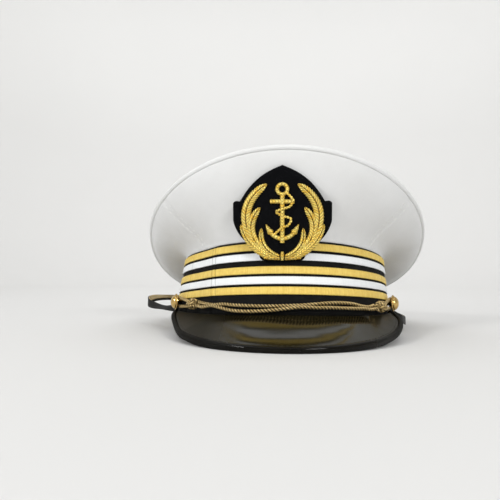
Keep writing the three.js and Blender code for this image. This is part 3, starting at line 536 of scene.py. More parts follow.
patentLook = {
    "constants": {"Specular IOR Level": 0.14, "Coat IOR": 1.45, "Coat Roughness": 0.09},
    "mottleSize": 0.05, "fine": 0.2, "dark": (0.006, 0.0051, 0.0023, 1), "pale": (0.014, 0.0115, 0.0045, 1),
    "rough": (0.045, 0.08), "poreScale": 900.0, "poreShare": 0.01, "waveScale": (16.0, 52.0, 52.0),
    "depth": 0.00024, "dullMiddle": 0.01, "dullFrom": 0.034, "dullTo": 0.06, "dull": 0.4, "lacquer": 0.5,
}
bindingLook = dict(
    patentLook, constants={"Specular IOR Level": 0.13}, rough=(0.05, 0.08),
    dark=(0.003, 0.0028, 0.002, 1), pale=(0.007, 0.006, 0.004, 1), dull=0.65, lacquer=0.0,
)
strapLook = {
    "constants": {"Specular IOR Level": 0.22},
    "mottleSize": 0.01, "fine": 0.5, "dark": (0.006, 0.006, 0.006, 1), "pale": (0.016, 0.015, 0.014, 1),
    "rough": (0.3, 0.5), "poreScale": 1500.0, "poreShare": 0.4, "waveScale": (120.0, 120.0, 120.0),
    "depth": 0.0002, "dullMiddle": 0.0, "dullFrom": 0.08, "dullTo": 0.1, "dull": 0.1, "lacquer": 0.0,
}
liningLook = dict(
    strapLook, constants={"Specular IOR Level": 0.35}, mottleSize=0.008, fine=0.6,
    dark=(0.46, 0.36, 0.2, 1), pale=(0.66, 0.54, 0.33, 1), rough=(0.5, 0.75),
    poreScale=1800.0, poreShare=0.5, waveScale=(150.0, 150.0, 150.0),
)
patentLeather = leatherMaterial("patentLeather", patentLook)
patentBinding = leatherMaterial("patentBinding", bindingLook)
strapLeather = leatherMaterial("strapLeather", strapLook)
tanLeather = leatherMaterial("tanLining", liningLook)

giltLook = {
    "bright": (0.8, 0.55, 0.2, 1), "dull": (0.26, 0.14, 0.04, 1), "worn": (0.4, 0.72),
    "rough": (0.12, 0.32), "mottleSize": 0.004, "fine": 0.4, "depth": 0.00005,
}


def giltMaterial(name, look):
    # gilt metal: warm and polished, duller and browner in uneven patches
    material, tree = newMaterial(name, {"Metallic": 1.0})
    mottle = unevenOf(tree, look["mottleSize"], look["fine"])
    colour = mixColour(tree, ranged(tree, mottle, *look["worn"]), look["bright"], look["dull"])
    finishMaterial(tree, colour, ranged(tree, mottle, *wideSpan, *look["rough"]), mottle, look["depth"])
    return material


threadLook = {"lines": {"Pitch": 0.35, "Slant": 1.0, "Uneven": 0.05}, "rough": (0.75, 0.5), "depth": 0.00006}


def threadMaterial(name, dark, pale):
    # sewing thread: two plies as slanted lines along each stitch, smoother on their backs, with painted shade
    # in the grooves between them
    material, tree = newMaterial(name, {"Specular IOR Level": 0.4})
    ply = useGroup(tree, stitchLines, {"Vector": uvOf(tree), **threadLook["lines"]})["Height"]
    rough = ranged(tree, ply, 0.0, 1.0, *threadLook["rough"])
    # painted shade: the colour runs from dark in the grooves to pale on the backs of the plies
    finishMaterial(tree, mixColour(tree, ply, dark, pale), rough, ply, threadLook["depth"])
    return material


gilt = giltMaterial("giltBrass", giltLook)
whiteThread = threadMaterial("whiteThread", (0.55, 0.55, 0.53, 1), (0.85, 0.85, 0.83, 1))
blackThread = threadMaterial("blackThread", (0.004, 0.004, 0.003, 1), (0.03, 0.028, 0.02, 1))
print("materials made")

# Camera at the photo's angle

shot = {
    "place": (-0.00251, -0.4119, 0.04311), "yaw": 0.0629, "pitch": 0.0468, "roll": 0.0035,
    "lens": 36.0, "sensor": 36.0, "nearest": 0.01,
}
cameraData = bpy.data.cameras.new("photoCamera")
cameraData.lens = shot["lens"]
cameraData.sensor_width = shot["sensor"]
cameraData.clip_start = shot["nearest"]
camera = bpy.data.objects.new("photoCamera", cameraData)
bpy.context.scene.collection.objects.link(camera)
camera.matrix_world = (
    Matrix.Translation(shot["place"])
    @ Matrix.Rotation(shot["yaw"], 4, "Z")
    @ Matrix.Rotation(np.pi / 2 + shot["pitch"], 4, "X")
    @ Matrix.Rotation(shot["roll"], 4, "Z")
)
bpy.context.scene.camera = camera

# Band

band = {
    "halfWidth": 84.0, "halfLength": 102.0, "wall": 2.4, "height": 45.0, "lean": 0.149, "sideDrop": 0.073,
    "hemDip": 3.0, "hemPress": 0.9, "columns": 480, "outerRows": 13, "innerRows": 9,
    "perRadian": 93.0, "insideUv": 60.0,   # millimetres of cloth in the uv map
    # from, to, depth at the hem, depth at the top
    "flats": ((-98.0, -58.0, -2.4, -2.4), (-58.0, -36.5, 1.6, 1.6), (56.0, 96.0, 3.0, -0.6)),
    # angle, depth, degrees of slant for each millimetre of height
    "creases": ((-58.0, 0.7, 0.0), (-35.4, 0.8, -0.11), (-32.7, 0.6, -0.11), (56.0, 0.8, 0.1)),
    "creaseWidth": 0.3, "creaseReach": 1.2, "creaseColumns": 25, "slantReach": 20,
    "nodes": ("band_front_right", "band_rear_right", "band_rear_left", "band_front_left"),
}


def shareOfHeight(t):
    # the band is lower at the sides and behind than at the front
    return 1 - band["sideDrop"] * (1 - np.maximum(np.cos(t), 0))


def signedDegrees(t):
    # the angle in degrees, between -180 and 180
    return np.degrees((t + np.pi) % (2 * np.pi) - np.pi)


def flatDent(t, height):
    # half a sine between the ends of each flat stretch, its depth changing from the hem to the top
    degrees = signedDegrees(t)
    dent = np.zeros_like(degrees)
    for low, high, hem, top in band["flats"]:
        depth = hem + (top - hem) * height / band["height"]
        dent = dent + depth * np.sin(np.pi * np.clip((degrees - low) / (high - low), 0, 1))
    return dent


def creaseDent(t, height):
    # a narrow bell at each crease, whose angle moves steadily with the height
    degrees = signedDegrees(t)
    dent = np.zeros_like(degrees + height)
    for angle, depth, slant in band["creases"]:
        dent = dent + depth * bell(degrees - angle - slant * height, band["creaseWidth"])
    return dent


def bandNormal(t):
    # square to the oval in plan
    return unit(stack(np.sin(t) / band["halfWidth"], -np.cos(t) / band["halfLength"], 0 * t))


def bandPoint(t, height, out):
    # an oval that shrinks with height, moved out along its normal
    t, height, out = np.broadcast_arrays(t, height, out)
    scale = 1 - band["lean"] * height / band["halfWidth"]
    oval = stack(band["halfWidth"] * scale * np.sin(t), -band["halfLength"] * scale * np.cos(t), height)
    return oval + bandNormal(t) * (out - flatDent(t, height))[..., None]


def floorHeight(y):
    # the floor's plane as seen from the tipped cap
    return band["hemPress"] - (band["halfLength"] - y) * np.tan(np.radians(capRest["tilt"]))


def ringAngles(count):
    # even angles round the head, with more of them at each crease
    even = np.linspace(-np.pi, np.pi, count, endpoint=False)
    spread = np.linspace(-band["creaseReach"], band["creaseReach"], band["creaseColumns"])
    fine = [np.radians(angle + slant * band["height"] / 2 + spread * (1 + band["slantReach"] * abs(slant)))
            for angle, depth, slant in band["creases"]]
    return np.unique(np.concatenate([even, *fine]).round(6))


def makeBand():
    # the section goes up the outer face, over the top, down the inner face and under the hem
    t = ringAngles(band["columns"])
    rise = np.concatenate([np.linspace(0, 1, band["outerRows"]), np.linspace(1, 0, band["innerRows"])])
    inside = np.arange(len(rise)) >= band["outerRows"]
    grid, share = np.meshgrid(t, rise, indexing="ij")
    out = np.broadcast_to(np.where(inside, -band["wall"], 0.0), grid.shape)
    hem = -band["hemDip"] * np.maximum(np.cos(grid), 0)
    for settle in range(4):   # each lift moves the leaning wall a little along the floor
        hem = np.maximum(hem, floorHeight(bandPoint(grid, hem, out)[..., 1]))
    top = band["height"] * shareOfHeight(grid)
    height = hem + (top - hem) * share
    points = bandPoint(grid, height, out - creaseDent(grid, height) * ~inside)
    vLine = np.append(rise, 0) * band["height"] + band["insideUv"] * np.append(inside, 0)
    skin = gridSkin(points, np.append(t, np.pi) * band["perRadian"], vLine, "uv")
    addPiece("capBand", [skin], blackCloth, "black_cloth", *band["nodes"])


makeBand()

# Braid

braid = {
    "width": 5.2, "thickness": 1.0, "seat": 0.12, "columns": 2040, "sides": 12, "edgeSquare": 0.5,
    "faceSquare": 0.6, "picot": 0.24, "picots": 510, "picotMean": 0.64, "creaseShade": 0.6,
    # name, bare cloth below
    "rows": (("gold_bottom", 9.8), ("silver_lower", 1.4), ("gold_middle", 1.4), ("silver_upper", 3.6),
             ("gold_top", 1.6)),
}


def makeBraid():
    # a flat ribbon round the band: a squarish oval section, its edges a row of small rounded teeth
    t = ringAngles(braid["columns"])
    turn = evenTurn(braid["sides"])
    across = squarish(np.cos(turn), braid["edgeSquare"])
    out = braid["seat"] + braid["thickness"] * (0.5 + 0.5 * squarish(np.sin(turn), braid["faceSquare"]))
    teeth = np.abs(np.sin(braid["picots"] * t / 2)) - braid["picotMean"]
    half = braid["width"] / 2 + braid["picot"] * teeth
    low = 0.0
    for name, bare in braid["rows"]:
        low += bare
        height = (low + braid["width"] / 2 + across[None, :] * half[:, None]) * shareOfHeight(t)[:, None]
        crease = creaseDent(t[:, None], height)
        points = bandPoint(t[:, None], height, out[None, :] - crease)
        skin = gridSkin(points, np.append(t, np.pi) * band["perRadian"], np.append(across, across[0]), "uv")
        metal = name.split("_")[0]
        material = goldBraid if metal == "gold" else silverBraid
        # painted shade: the crease depth at each vertex, which the braid's material darkens by
        shade = np.clip(crease * braid["creaseShade"], 0, 1)
        piece = "braid" + titled(name) + "Row"
        addPiece(piece, [skin], material, metal + "_braid", "braid_" + name, shade=shade)
        low += braid["width"]


makeBraid()
print("band and braid made")

# Crown

crown = {
    "halfWidth": 110.8, "halfLength": 125.0, "setBack": 13.0, "height": 54.3, "frontLift": 42.2,
    "saddle": 5.0, "square": 0.02, "piping": 1.8, "panelRoom": 0.1, "cloth": 1.6, "middle": 62.0, "seat": 0.3,
    # each at the front, side and rear
    "footRise": (16, 8, 6), "footOut": (3, 4, 8), "rimIn": (4, 8, 14), "rimDown": (16, 10, 2),
    "topFall": (1.3, 2.2, 3.1),
    # name, from, to, columns
    "panels": (("front", -50.0, 50.0, 170), ("side_right", 50.0, 180.0, 220),
               ("side_left", 180.0, 310.0, 220)),
    "panelRows": 44, "seamFine": (0.15, 2.6, 12), "seamWidth": 1.5, "seamDepth": 0.3,
    "perRadian": 100.0, "panelUv": 55.0, "topUv": 115.0,   # millimetres of cloth in the uv map
    "roll": 0.5, "rolls": ((7, 3, 0, 1.0), (13, -4, 1, 0.6)),   # waves round, lean, start, share
    "pucker": 0.16, "puckers": 71, "puckerReach": 0.1, "puckerStart": 0.02,
    "sag": 1.4, "sags": 3, "sagStart": 1, "gather": 0.3, "gathers": 58, "gatherReach": 0.06,
    "gatherShift": 2, "gatherShifts": 5,
    # turn in plan, distance from the middle, width, depth
    "folds": ((28, 34, 8, 1.6), (-36, -26, 10, -1.9), (74, -52, 7, 1.3), (8, -62, 8, 1.4),
              (-70, 40, 7, -1.3)),
    "topColumns": 400, "topRows": ((0.02, 0.9, 34), (0.912, 17)), "edgeRoom": 0.3,
    "pipingColumns": 360, "pipingSides": 18,
}
crownSew = {
    "stitch": 2.8, "gap": 1.3, "thread": 0.28, "rimIn": 4.6, "seamSide": 1.9, "proud": 0.02, "sink": 0.4,
    "sinkWidth": 1.0, "seamRun": (0.04, 0.97, 160), "rimSteps": 1500,
}


def sectionValue(key, t):
    # a cosine curve through the values at the front, side and rear
    front, side, rear = crown[key]
    ends = (front + rear) / 2
    return (ends + side) / 2 + (front - rear) / 2 * np.cos(t) + (ends - side) / 2 * np.cos(2 * t)


def rimPoint(t):
    # a slightly squared oval, high at the front, its height a cosine of the angle and of twice the angle
    square = 1 + crown["square"] * np.sin(2 * t) ** 2
    return stack(
        crown["halfWidth"] * square * np.sin(t),
        crown["setBack"] - crown["halfLength"] * square * np.cos(t),
        crown["height"] + crown["frontLift"] * np.cos(t) + crown["saddle"] * np.cos(2 * t),
    )


def topPoint(t, share):
    # the rim drawn in towards the middle, with the height falling by a power of the share; the cloth
    # sags in slow waves and a few straight folds, each a bell across its line; it is gathered a little
    # at the rim and sinks along its row of stitches
    t, share = np.broadcast_arrays(t, share)
    rim = rimPoint(t)
    fall = np.maximum(share, 0) ** sectionValue("topFall", t)
    slow = np.sin(crown["sags"] * t + crown["sagStart"])
    sag = crown["sag"] * slow * np.sin(np.pi * share) ** 2 * share
    uneven = crown["gathers"] * t + crown["gatherShift"] * np.sin(crown["gatherShifts"] * t)
    gather = crown["gather"] * np.sin(uneven) * np.exp((share - 1) / crown["gatherReach"])
    fromRow = (1 - share) * crown["halfWidth"] - crownSew["rimIn"]
    sink = crownSew["sink"] * bell(fromRow, crownSew["sinkWidth"])
    x = rim[..., 0] * share
    y = crown["setBack"] + (rim[..., 1] - crown["setBack"]) * share
    crumple = np.zeros_like(x)
    for turn, away, width, depth in crown["folds"]:
        line = np.cos(np.radians(turn)) * x + np.sin(np.radians(turn)) * (y - crown["setBack"]) - away
        crumple = crumple + depth * bell(line, width)
    crumple = crumple * np.sin(np.pi * np.clip(share, 0, 1) ** 2)
    z = crown["middle"] + (rim[..., 2] - crown["middle"]) * fall + sag + crumple + gather - sink
    return stack(x, y, z)


def panelPoint(t, share):
    # a Bezier curve from the band's top edge to the rim at each angle
    t, share = np.broadcast_arrays(t, share)
    footHeight = band["height"] * shareOfHeight(t) + crown["seat"] + crown["cloth"] / 2
    foot = bandPoint(t, footHeight, -band["wall"] / 2)
    rim = rimPoint(t)
    outward = unit((rim - foot) * (1, 1, 0))
    footOut, footRise, rimIn, rimDown = [
        sectionValue(key, t)[..., None] for key in ("footOut", "footRise", "rimIn", "rimDown")]
    lead = foot + outward * footOut + straightUp * footRise
    come = rim - outward * rimIn - straightUp * rimDown
    s = share[..., None] * (1 - (crown["piping"] + crown["panelRoom"]) / (3 * np.hypot(rimIn, rimDown)))
    return foot * (1 - s) ** 3 + 3 * lead * s * (1 - s) ** 2 + 3 * come * s ** 2 * (1 - s) + rim * s ** 3


def clothLift(t, share, low, high):
    # the cloth sinks at its two side seams, puckers near the band and rolls in slow waves at the sides
    fromSeam = np.minimum(t - low, high - t) * crown["perRadian"]
    seam = -crown["seamDepth"] * bell(fromSeam, crown["seamWidth"])
    seam = seam - crownSew["sink"] / 2 * bell(fromSeam - crownSew["seamSide"], crownSew["sinkWidth"])
    slack = (1 - np.cos(t)) / 2
    waves = sum(part * np.sin(count * t + lean * share + start)
                for count, lean, start, part in crown["rolls"])
    roll = crown["roll"] * slack * waves * np.sin(np.pi * share) ** 2
    nearBand = np.exp(-share / crown["puckerReach"]) * (1 - np.exp(-share / crown["puckerStart"]))
    return seam + roll + crown["pucker"] * np.sin(crown["puckers"] * t) * nearBand


def makeCrown():
    # both faces of each panel, pushed out from its middle by the lift of the cloth
    near = np.radians(np.linspace(*crown["seamFine"]))
    count = crown["panelRows"]
    for name, low, high, columns in crown["panels"]:
        low, high = np.radians(low), np.radians(high)
        t = np.unique(np.concatenate([np.linspace(low, high, columns), low + near, high - near]))
        points, uLine, vLine = sheetSkin(panelPoint, t, np.linspace(0, 1, count), crown["cloth"])
        back = points[:, count + edgeSteps:2 * count + edgeSteps]
        side = unit(points[:, :count] - back[:, ::-1])
        foot, rim = side[:, :1].repeat(edgeSteps, 1), side[:, -1:].repeat(edgeSteps, 1)
        push = np.concatenate([side, rim, side[:, ::-1], foot], 1)
        if np.sum(side * (points[:, :count] - (0, crown["setBack"], 0)) * (1, 1, 0)) < 0:
            push = -push
        points = points + push * clothLift(t[:, None], vLine[None, :-1], low, high)[..., None]
        skin = gridSkin(points, uLine * crown["perRadian"], vLine * crown["panelUv"], "v", 2)
        addPiece("crown" + titled(name) + "Panel", [skin], whiteCloth, "white_cloth", "crown_" + name)


def makeCrownTop():
    # both faces of the top from its middle to the rim and back
    inner, (outerStart, outerCount) = crown["topRows"]
    edge = 1 - (crown["piping"] + crown["edgeRoom"]) / crown["halfWidth"]
    v = np.concatenate([np.linspace(*inner), np.linspace(outerStart, edge, outerCount)])
    points, uLine, vLine = sheetSkin(topPoint, evenTurn(crown["topColumns"]), v, crown["cloth"])
    rows = 2 * len(v) + edgeSteps
    vLine = lastAgain(vLine[:rows]) * crown["topUv"]
    skin = gridSkin(points[:, :rows], uLine * crown["perRadian"], vLine, "u")
    addPiece("crownTopPanel", [skin], whiteCloth, "white_cloth", "crown_top")


def makePiping():
    # a round cord in cloth along the rim
    t, turn = evenTurn(crown["pipingColumns"]), evenTurn(crown["pipingSides"])
    ahead = unit(rimPoint(t + tinyStep) - rimPoint(t - tinyStep))
    out = unit(stack(ahead[:, 1], -ahead[:, 0], 0 * t))
    points = rimPoint(t)[:, None] + crown["piping"] * ringOf(turn, out, np.cross(ahead, out))
    skin = gridSkin(points, wholeTurn(t) * crown["topUv"], wholeTurn(turn) * crown["piping"], "uv")
    addPiece("crownEdgePiping", [skin], whiteCloth, "white_cloth", "crown_piping")


makeCrown()
makeCrownTop()
makePiping()
print("crown made")

# Peak

peak = {
    "halfAngle": 67.0, "reach": 35.4, "endReach": 2.6, "taper": 1.22, "slope": 28.5, "thickness": 2.0,
    "bow": -1.1, "bowPower": 0.7, "rise": -4.0, "endRise": 4.4, "endPower": 3.0, "endRound": 8.0,
    "endTrim": 0.7, "seat": 0.6, "columns": 220, "rows": 36, "perRadian": 110.0, "nearEdge": 0.98,
}


def peakReachAt(t):
    # a cosine bulge to a power, from the end reach to the full reach, trimmed round at both ends
    bulge = np.maximum(np.cos(np.pi / 2 * t / np.radians(peak["halfAngle"])), 0) ** peak["taper"]
    reach = peak["endReach"] + (peak["reach"] - peak["endReach"]) * bulge
    past = (np.degrees(np.abs(t)) - peak["halfAngle"] + peak["endRound"]) / peak["endRound"]
    return reach * (1 - peak["endTrim"] * np.clip(past, 0, 1) ** 3)


def peakPoint(t, share):
    # straight out from the hem, falling with a steady slope, a little hollow, its two ends raised
    t, share = np.broadcast_arrays(t, share)
    reach = peakReachAt(t)
    point = bandPoint(t, 0 * t, peak["seat"] + peak["thickness"] / 2 + share * reach)
    drop = share * reach * np.tan(np.radians(peak["slope"]))
    lift = peak["bow"] * np.sin(np.pi * np.maximum(share, 0) ** peak["bowPower"]) * reach / peak["reach"]
    end = peak["endRise"] * (np.abs(t) / np.radians(peak["halfAngle"])) ** peak["endPower"]
    return stack(point[..., 0], point[..., 1], peak["rise"] + end - drop + lift)


def peakEdge(t, share=1.0):
    # a line along the peak with its outward and upward directions
    outward = unit(peakPoint(t, 1.0) - peakPoint(t, peak["nearEdge"]))
    ahead = unit(peakPoint(t + tinyStep, share) - peakPoint(t - tinyStep, share))
    upward = unit(np.cross(outward, ahead))
    return peakPoint(t, share), outward, upward * np.sign(upward[..., 2:])


def makePeak():
    # the peak's surface with both its faces and rounded edges
    t = np.radians(peak["halfAngle"]) * np.linspace(-1, 1, peak["columns"])
    points, uLine, vLine = sheetSkin(peakPoint, t, np.linspace(0, 1, peak["rows"]), peak["thickness"])
    skin = gridSkin(points, uLine * peak["perRadian"], vLine * peak["reach"], "v", 2)
    addPiece("peakShell", [skin], patentLeather, "patent_leather", "peak")


binding = {
    "wall": 0.9, "depth": 2.6, "room": 0.55, "square": 0.7, "sides": 30, "columns": 260, "roundUv": 2.2,
    "stitchIn": 3.6, "stitchEnd": 3.0, "stitchSteps": 400, "proud": 0.08, "stitch": 2.0, "gap": 1.1,
    "thread": 0.24,
}


def makeBinding():
    # a rounded strip over the edge: an oval section, pressed flat where it stands on the floor
    t = np.radians(peak["halfAngle"]) * np.linspace(-1, 1, binding["columns"])
    edge, outward, upward = peakEdge(t)
    turn = evenTurn(binding["sides"])
    back = binding["room"] + binding["wall"]
    middle, width = (back - binding["depth"]) / 2, (back + binding["depth"]) / 2
    across = middle + width * squarish(np.cos(turn), binding["square"])
    up = (peak["thickness"] / 2 + back) * squarish(np.sin(turn), binding["square"])
    points = edge[:, None] + outward[:, None] * across[:, None] + upward[:, None] * up[:, None]
    points[..., 2] = np.maximum(points[..., 2], floorHeight(points[..., 1]))
    skin = gridSkin(points, lastAgain(t) * peak["perRadian"], wholeTurn(turn) * binding["roundUv"], "v")
    addPiece("peakEdgeBinding", [skin], patentBinding, "patent_leather", "peak_binding")


makePeak()
makeBinding()

# Stitching

stitchShape = {"steps": 7, "sides": 8, "endShare": 0.02, "roundUv": 0.2}


def stitchSkins(path, normal, sew):
    # one small capsule for each stitch: its middle, length and direction taken from the path
    far = runLength(path)
    fields = (path, *squareTo(unit(np.gradient(path, axis=0)), normal))
    along, turn = np.linspace(0, 1, stitchShape["steps"]), evenTurn(stitchShape["sides"])
    fromMiddle = 2 * along - 1
    thick = sew["thread"] * np.sqrt(np.maximum(1 - fromMiddle ** 4, stitchShape["endShare"]))
    sink = fromMiddle ** 2 * sew["thread"]
    uLine, vLine = np.append(along, 1) * sew["stitch"], wholeTurn(turn) * stitchShape["roundUv"]
    skins = []
    for start in np.arange(0.5 * sew["gap"], far[-1] - sew["stitch"], sew["stitch"] + sew["gap"]):
        place = start + along * sew["stitch"]
        at, out, across = [np.stack([np.interp(place, far, line) for line in field.T], -1)
                           for field in fields]
        ring = thick[:, None, None] * ringOf(turn, out, across)
        points = at[:, None] + ring - (sink[:, None] * out)[:, None]
        skins.append(gridSkin(points, uLine, vLine, "v"))
    return skins


def sewnRow(surface, t, share, lift):
    # a run of stitches on a cloth surface, lying on its outer face
    line = surface(t, share)
    normal = surfaceSlopes(surface, t, share)[1]
    outside = np.sum(normal * (line - (0, crown["setBack"], 0)), -1, keepdims=True)
    normal = normal * np.where(outside < 0, -1, 1)
    raised = line + normal * (crown["cloth"] / 2 + crownSew["proud"] + lift)[:, None]
    return stitchSkins(raised, normal, crownSew)


def makePeakStitches():
    # a row of thread just inside the binding, on the upper face
    t = np.radians(peak["halfAngle"] - binding["stitchEnd"]) * np.linspace(-1, 1, binding["stitchSteps"])
    line, outward, upward = peakEdge(t, 1 - binding["stitchIn"] / peakReachAt(t))
    raised = line + upward * (peak["thickness"] / 2 + binding["proud"])
    skins = stitchSkins(raised, upward, binding)
    addPiece("peakStitching", skins, blackThread, "patent_leather", "peak_binding")


def makeCrownStitches():
    # one row round the top inside the piping, and a row on each side of the three panel seams
    t = np.linspace(0, 2 * np.pi, crownSew["rimSteps"])
    share = 1 - crownSew["rimIn"] / crown["halfWidth"] + 0 * t
    rows = sewnRow(topPoint, t, share, 0 * t)
    addPiece("crownTopStitching", rows, whiteThread, "white_cloth", "crown_top")
    share = np.linspace(*crownSew["seamRun"])
    for name, low, high, columns in crown["panels"]:
        rows = []
        for end, side in ((low, 1), (high, -1)):
            t = np.radians(end) + side * crownSew["seamSide"] / crown["perRadian"] + 0 * share
            lift = clothLift(t, share, np.radians(low), np.radians(high))
            rows += sewnRow(panelPoint, t, share, lift)
        addPiece("crown" + titled(name) + "Stitching", rows, whiteThread, "white_cloth", "crown_" + name)


makePeakStitches()
makeCrownStitches()
print("peak made and stitching sewn")

# Cords, knots, loops and buttons

cordRope = {"radius": 1.15, "plies": 2, "pitch": 4.4, "lobe": 1.0, "groove": 0.45, "sides": 24, "steps": 620}
cordRoute = np.array([   # angle, then out and rise of the upper strand, out and rise of the lower one
    (-43.5, 3.2, 6.0, 5.3, 3.7), (-38, 2.2, 4.6, 4.6, 2.4), (-33, 1.7, 3.8, 4.1, 3.1),
    (-28, 1.7, 4.0, 4.0, 1.5), (-22, 1.7, 3.2, 3.7, -0.3), (-15, 1.7, 2.7, 3.6, -0.8),
    (-7, 1.7, 2.5, 3.8, -0.3), (0, 1.7, 2.7, 4.1, 0.9), (6, 1.7, 3.1, 4.1, 1.9),
    (12, 1.7, 3.9, 4.0, 1.7), (18, 1.7, 4.8, 3.7, 1.9), (24, 1.7, 5.2, 3.6, 1.8),
    (30, 1.7, 4.9, 3.9, 1.8), (35, 1.9, 3.7, 4.2, 1.9), (39, 2.6, 3.3, 4.8, 1.6),
    (42.5, 3.2, 4.6, 5.3, 2.5),
])
knot = {
    "radius": 4.0, "half": 4.4, "out": 4.5, "leads": 3, "bights": 4, "steps": 420,
    "strand": 1.25, "strandSides": 14, "strandIn": 1.5, "swell": 0.35, "swing": 0.68,
    "coreIn": 1.7, "coreHalf": 0.86, "coreSquare": 0.75, "coreRings": 15, "coreSides": 20, "coreUv": 4.0,
    "places": (("left", -47.5, 5.0), ("right", 46.5, 3.8)),   # side, angle, rise
}
button = {
    "angle": 64.0, "rise": 7.4, "radius": 6.0, "dome": 3.4, "domeWidth": 0.84, "step": 0.85, "rim": 1.1,
    "rimRound": 0.6, "rimTurn": 0.75, "rimSteps": 11, "domeSteps": 16, "shank": 1.6, "shankFrom": 0.6,
    "flange": 1.4, "shankRoom": 0.05, "flangeRoom": 0.02, "sides": 56, "tip": 0.02,
    "profileUv": 0.4,
}
loop = {
    "out": 2.95, "endSpread": 1.6, "endOut": 3.9, "seat": 0.6, "cord": 1.05, "knotRoom": 0.6, "steps": 260,
    "swings": (90.0, 45.0, 0.0, -45.0, -90.0),
}


def makeCords():
    # each strand is a twisted rope along its route, with its outward side away from the band
    for strand, column in (("upper", 1), ("lower", 3)):
        knots = bandPoint(np.radians(cordRoute[:, 0]), cordRoute[:, column + 1], cordRoute[:, column])
        path, far = smoothPath(knots, cordRope["steps"])
        outward = bandNormal(np.arctan2(path[:, 0] / band["halfWidth"], -path[:, 1] / band["halfLength"]))
        skin = ropeSkin(path, far, *squareTo(unit(np.gradient(path, axis=0)), outward), cordRope)
        addPiece("chinCord" + titled(strand), [skin], goldCord, "gold_cord", "chin_cord_" + strand)


def makeKnots():
    # a woven ring knot: the strand goes round the cord while it swings from end to end of the knot; a
    # plain barrel fills its inside
    turn = evenTurn(knot["steps"]) * knot["leads"]
    swing = turn * knot["bights"] / knot["leads"]
    wide = knot["radius"] - knot["strandIn"] + knot["swell"] * np.cos(2 * swing)
    lay, ring = np.linspace(-1, 1, knot["coreRings"]), evenTurn(knot["coreSides"])
    belly = (knot["radius"] - knot["coreIn"]) * np.sqrt(np.maximum(1 - knot["coreSquare"] * lay ** 4, 0))
    for side, angle, rise in knot["places"]:
        t = np.radians(angle)
        middle = bandPoint(t, rise, knot["out"])
        ahead = unit(bandPoint(t + tinyStep, rise, 0) - bandPoint(t - tinyStep, rise, 0))
        out = bandNormal(t)
        across = np.cross(ahead, out)
        spokes = ringOf(turn, out, across)
        path = middle + ahead * (knot["swing"] * knot["half"] * np.sin(swing))[:, None]
        path = path + spokes * wide[:, None]
        far = runLength(np.vstack([path, path[:1]]))
        twists = round(far[-1] / cordRope["pitch"])
        rope = dict(cordRope, radius=knot["strand"], sides=knot["strandSides"], pitch=far[-1] / twists)
        step = unit(np.roll(path, -1, 0) - np.roll(path, 1, 0))
        stretch = cordRope["pitch"] / rope["pitch"]
        strand = ropeSkin(path, far, *squareTo(step, spokes), rope, "uv", stretch)
        along = ahead * (knot["coreHalf"] * knot["half"] * lay)[:, None]
        core = middle + along[:, None] + belly[:, None, None] * ringOf(ring, out, across)
        core = gridSkin(core, np.append(lay, 1) * knot["coreUv"], wholeTurn(ring), "v")
        addPiece("cordKnot" + titled(side), [strand, core], goldCord, "gold_cord", "cord_knot_" + side)


def makeLoops():
    # from the knot to the button's shank, half a circle round it, and back to the knot
    spread = button["shank"] + loop["seat"] + loop["cord"]
    swing = np.radians(loop["swings"])
    for side, angle, rise in knot["places"]:
        turn = np.sign(angle)
        at = turn * np.radians(button["angle"])
        middle = bandPoint(at, button["rise"], loop["out"])
        away = unit(bandPoint(at + turn * tinyStep, button["rise"], 0) - bandPoint(at, button["rise"], 0))
        start = np.radians(angle) + turn * (knot["half"] + loop["knotRoom"]) / band["halfWidth"]
        first, last = [bandPoint(start, rise + end * loop["endSpread"], loop["endOut"]) for end in (1, -1)]
        arc = middle + spread * ringOf(swing, away, straightUp)
        path, far = smoothPath(np.vstack([first, arc, last]), loop["steps"])
        outward = np.broadcast_to(bandNormal(np.array(at)), path.shape)
        skin = ropeSkin(path, far, *squareTo(unit(np.gradient(path, axis=0)), outward), cordRope)
        addPiece("cordLoop" + titled(side), [skin], goldCord, "gold_cord", "cord_loop_" + side)


def makeButtons():
    # a turned profile of radius and height: shank, rolled rim, a shallow step and the dome
    base = loop["out"] + loop["cord"] + button["rimRound"]
    r, rim, shank = button["radius"], button["rimRound"], button["shank"]
    edge = np.linspace(-np.pi / 2, np.pi * button["rimTurn"], button["rimSteps"])
    rolled = stack(r - rim + rim * np.cos(edge), base + rim + rim * np.sin(edge))
    lift = np.linspace(0, 1, button["domeSteps"]) * np.pi / 2
    high = button["dome"] + button["rim"] - button["step"]
    dome = stack(button["domeWidth"] * r * np.cos(lift), base + button["step"] + high * np.sin(lift))
    dome[-1, 0] = button["tip"]
    foot, shankTop, flangeTop = button["shankFrom"], base - button["shankRoom"], base - button["flangeRoom"]
    stem = [(button["tip"], foot), (shank, foot), (shank, shankTop), (r - button["flange"], flangeTop)]
    profile = np.vstack([stem, rolled, dome])
    turn = evenTurn(button["sides"])
    for side, sign in (("left", -1), ("right", 1)):
        t = sign * np.radians(button["angle"])
        out = bandNormal(np.array(t))
        spokes = ringOf(turn, np.cross(straightUp, out), straightUp)
        points = bandPoint(t, button["rise"], 0.0) + profile[:, :1] * spokes[:, None] + profile[:, 1:] * out
        vLine = np.arange(len(profile) + 1) * button["profileUv"]
        skin = gridSkin(points, wholeTurn(turn), vLine, "u")
        addPiece("sideButton" + titled(side), [skin], gilt, "gilt", "button_" + side)


makeCords()
makeKnots()
makeLoops()
makeButtons()
print("cords and buttons made")

# Chin strap: black outside and tan inside, sewn back to back

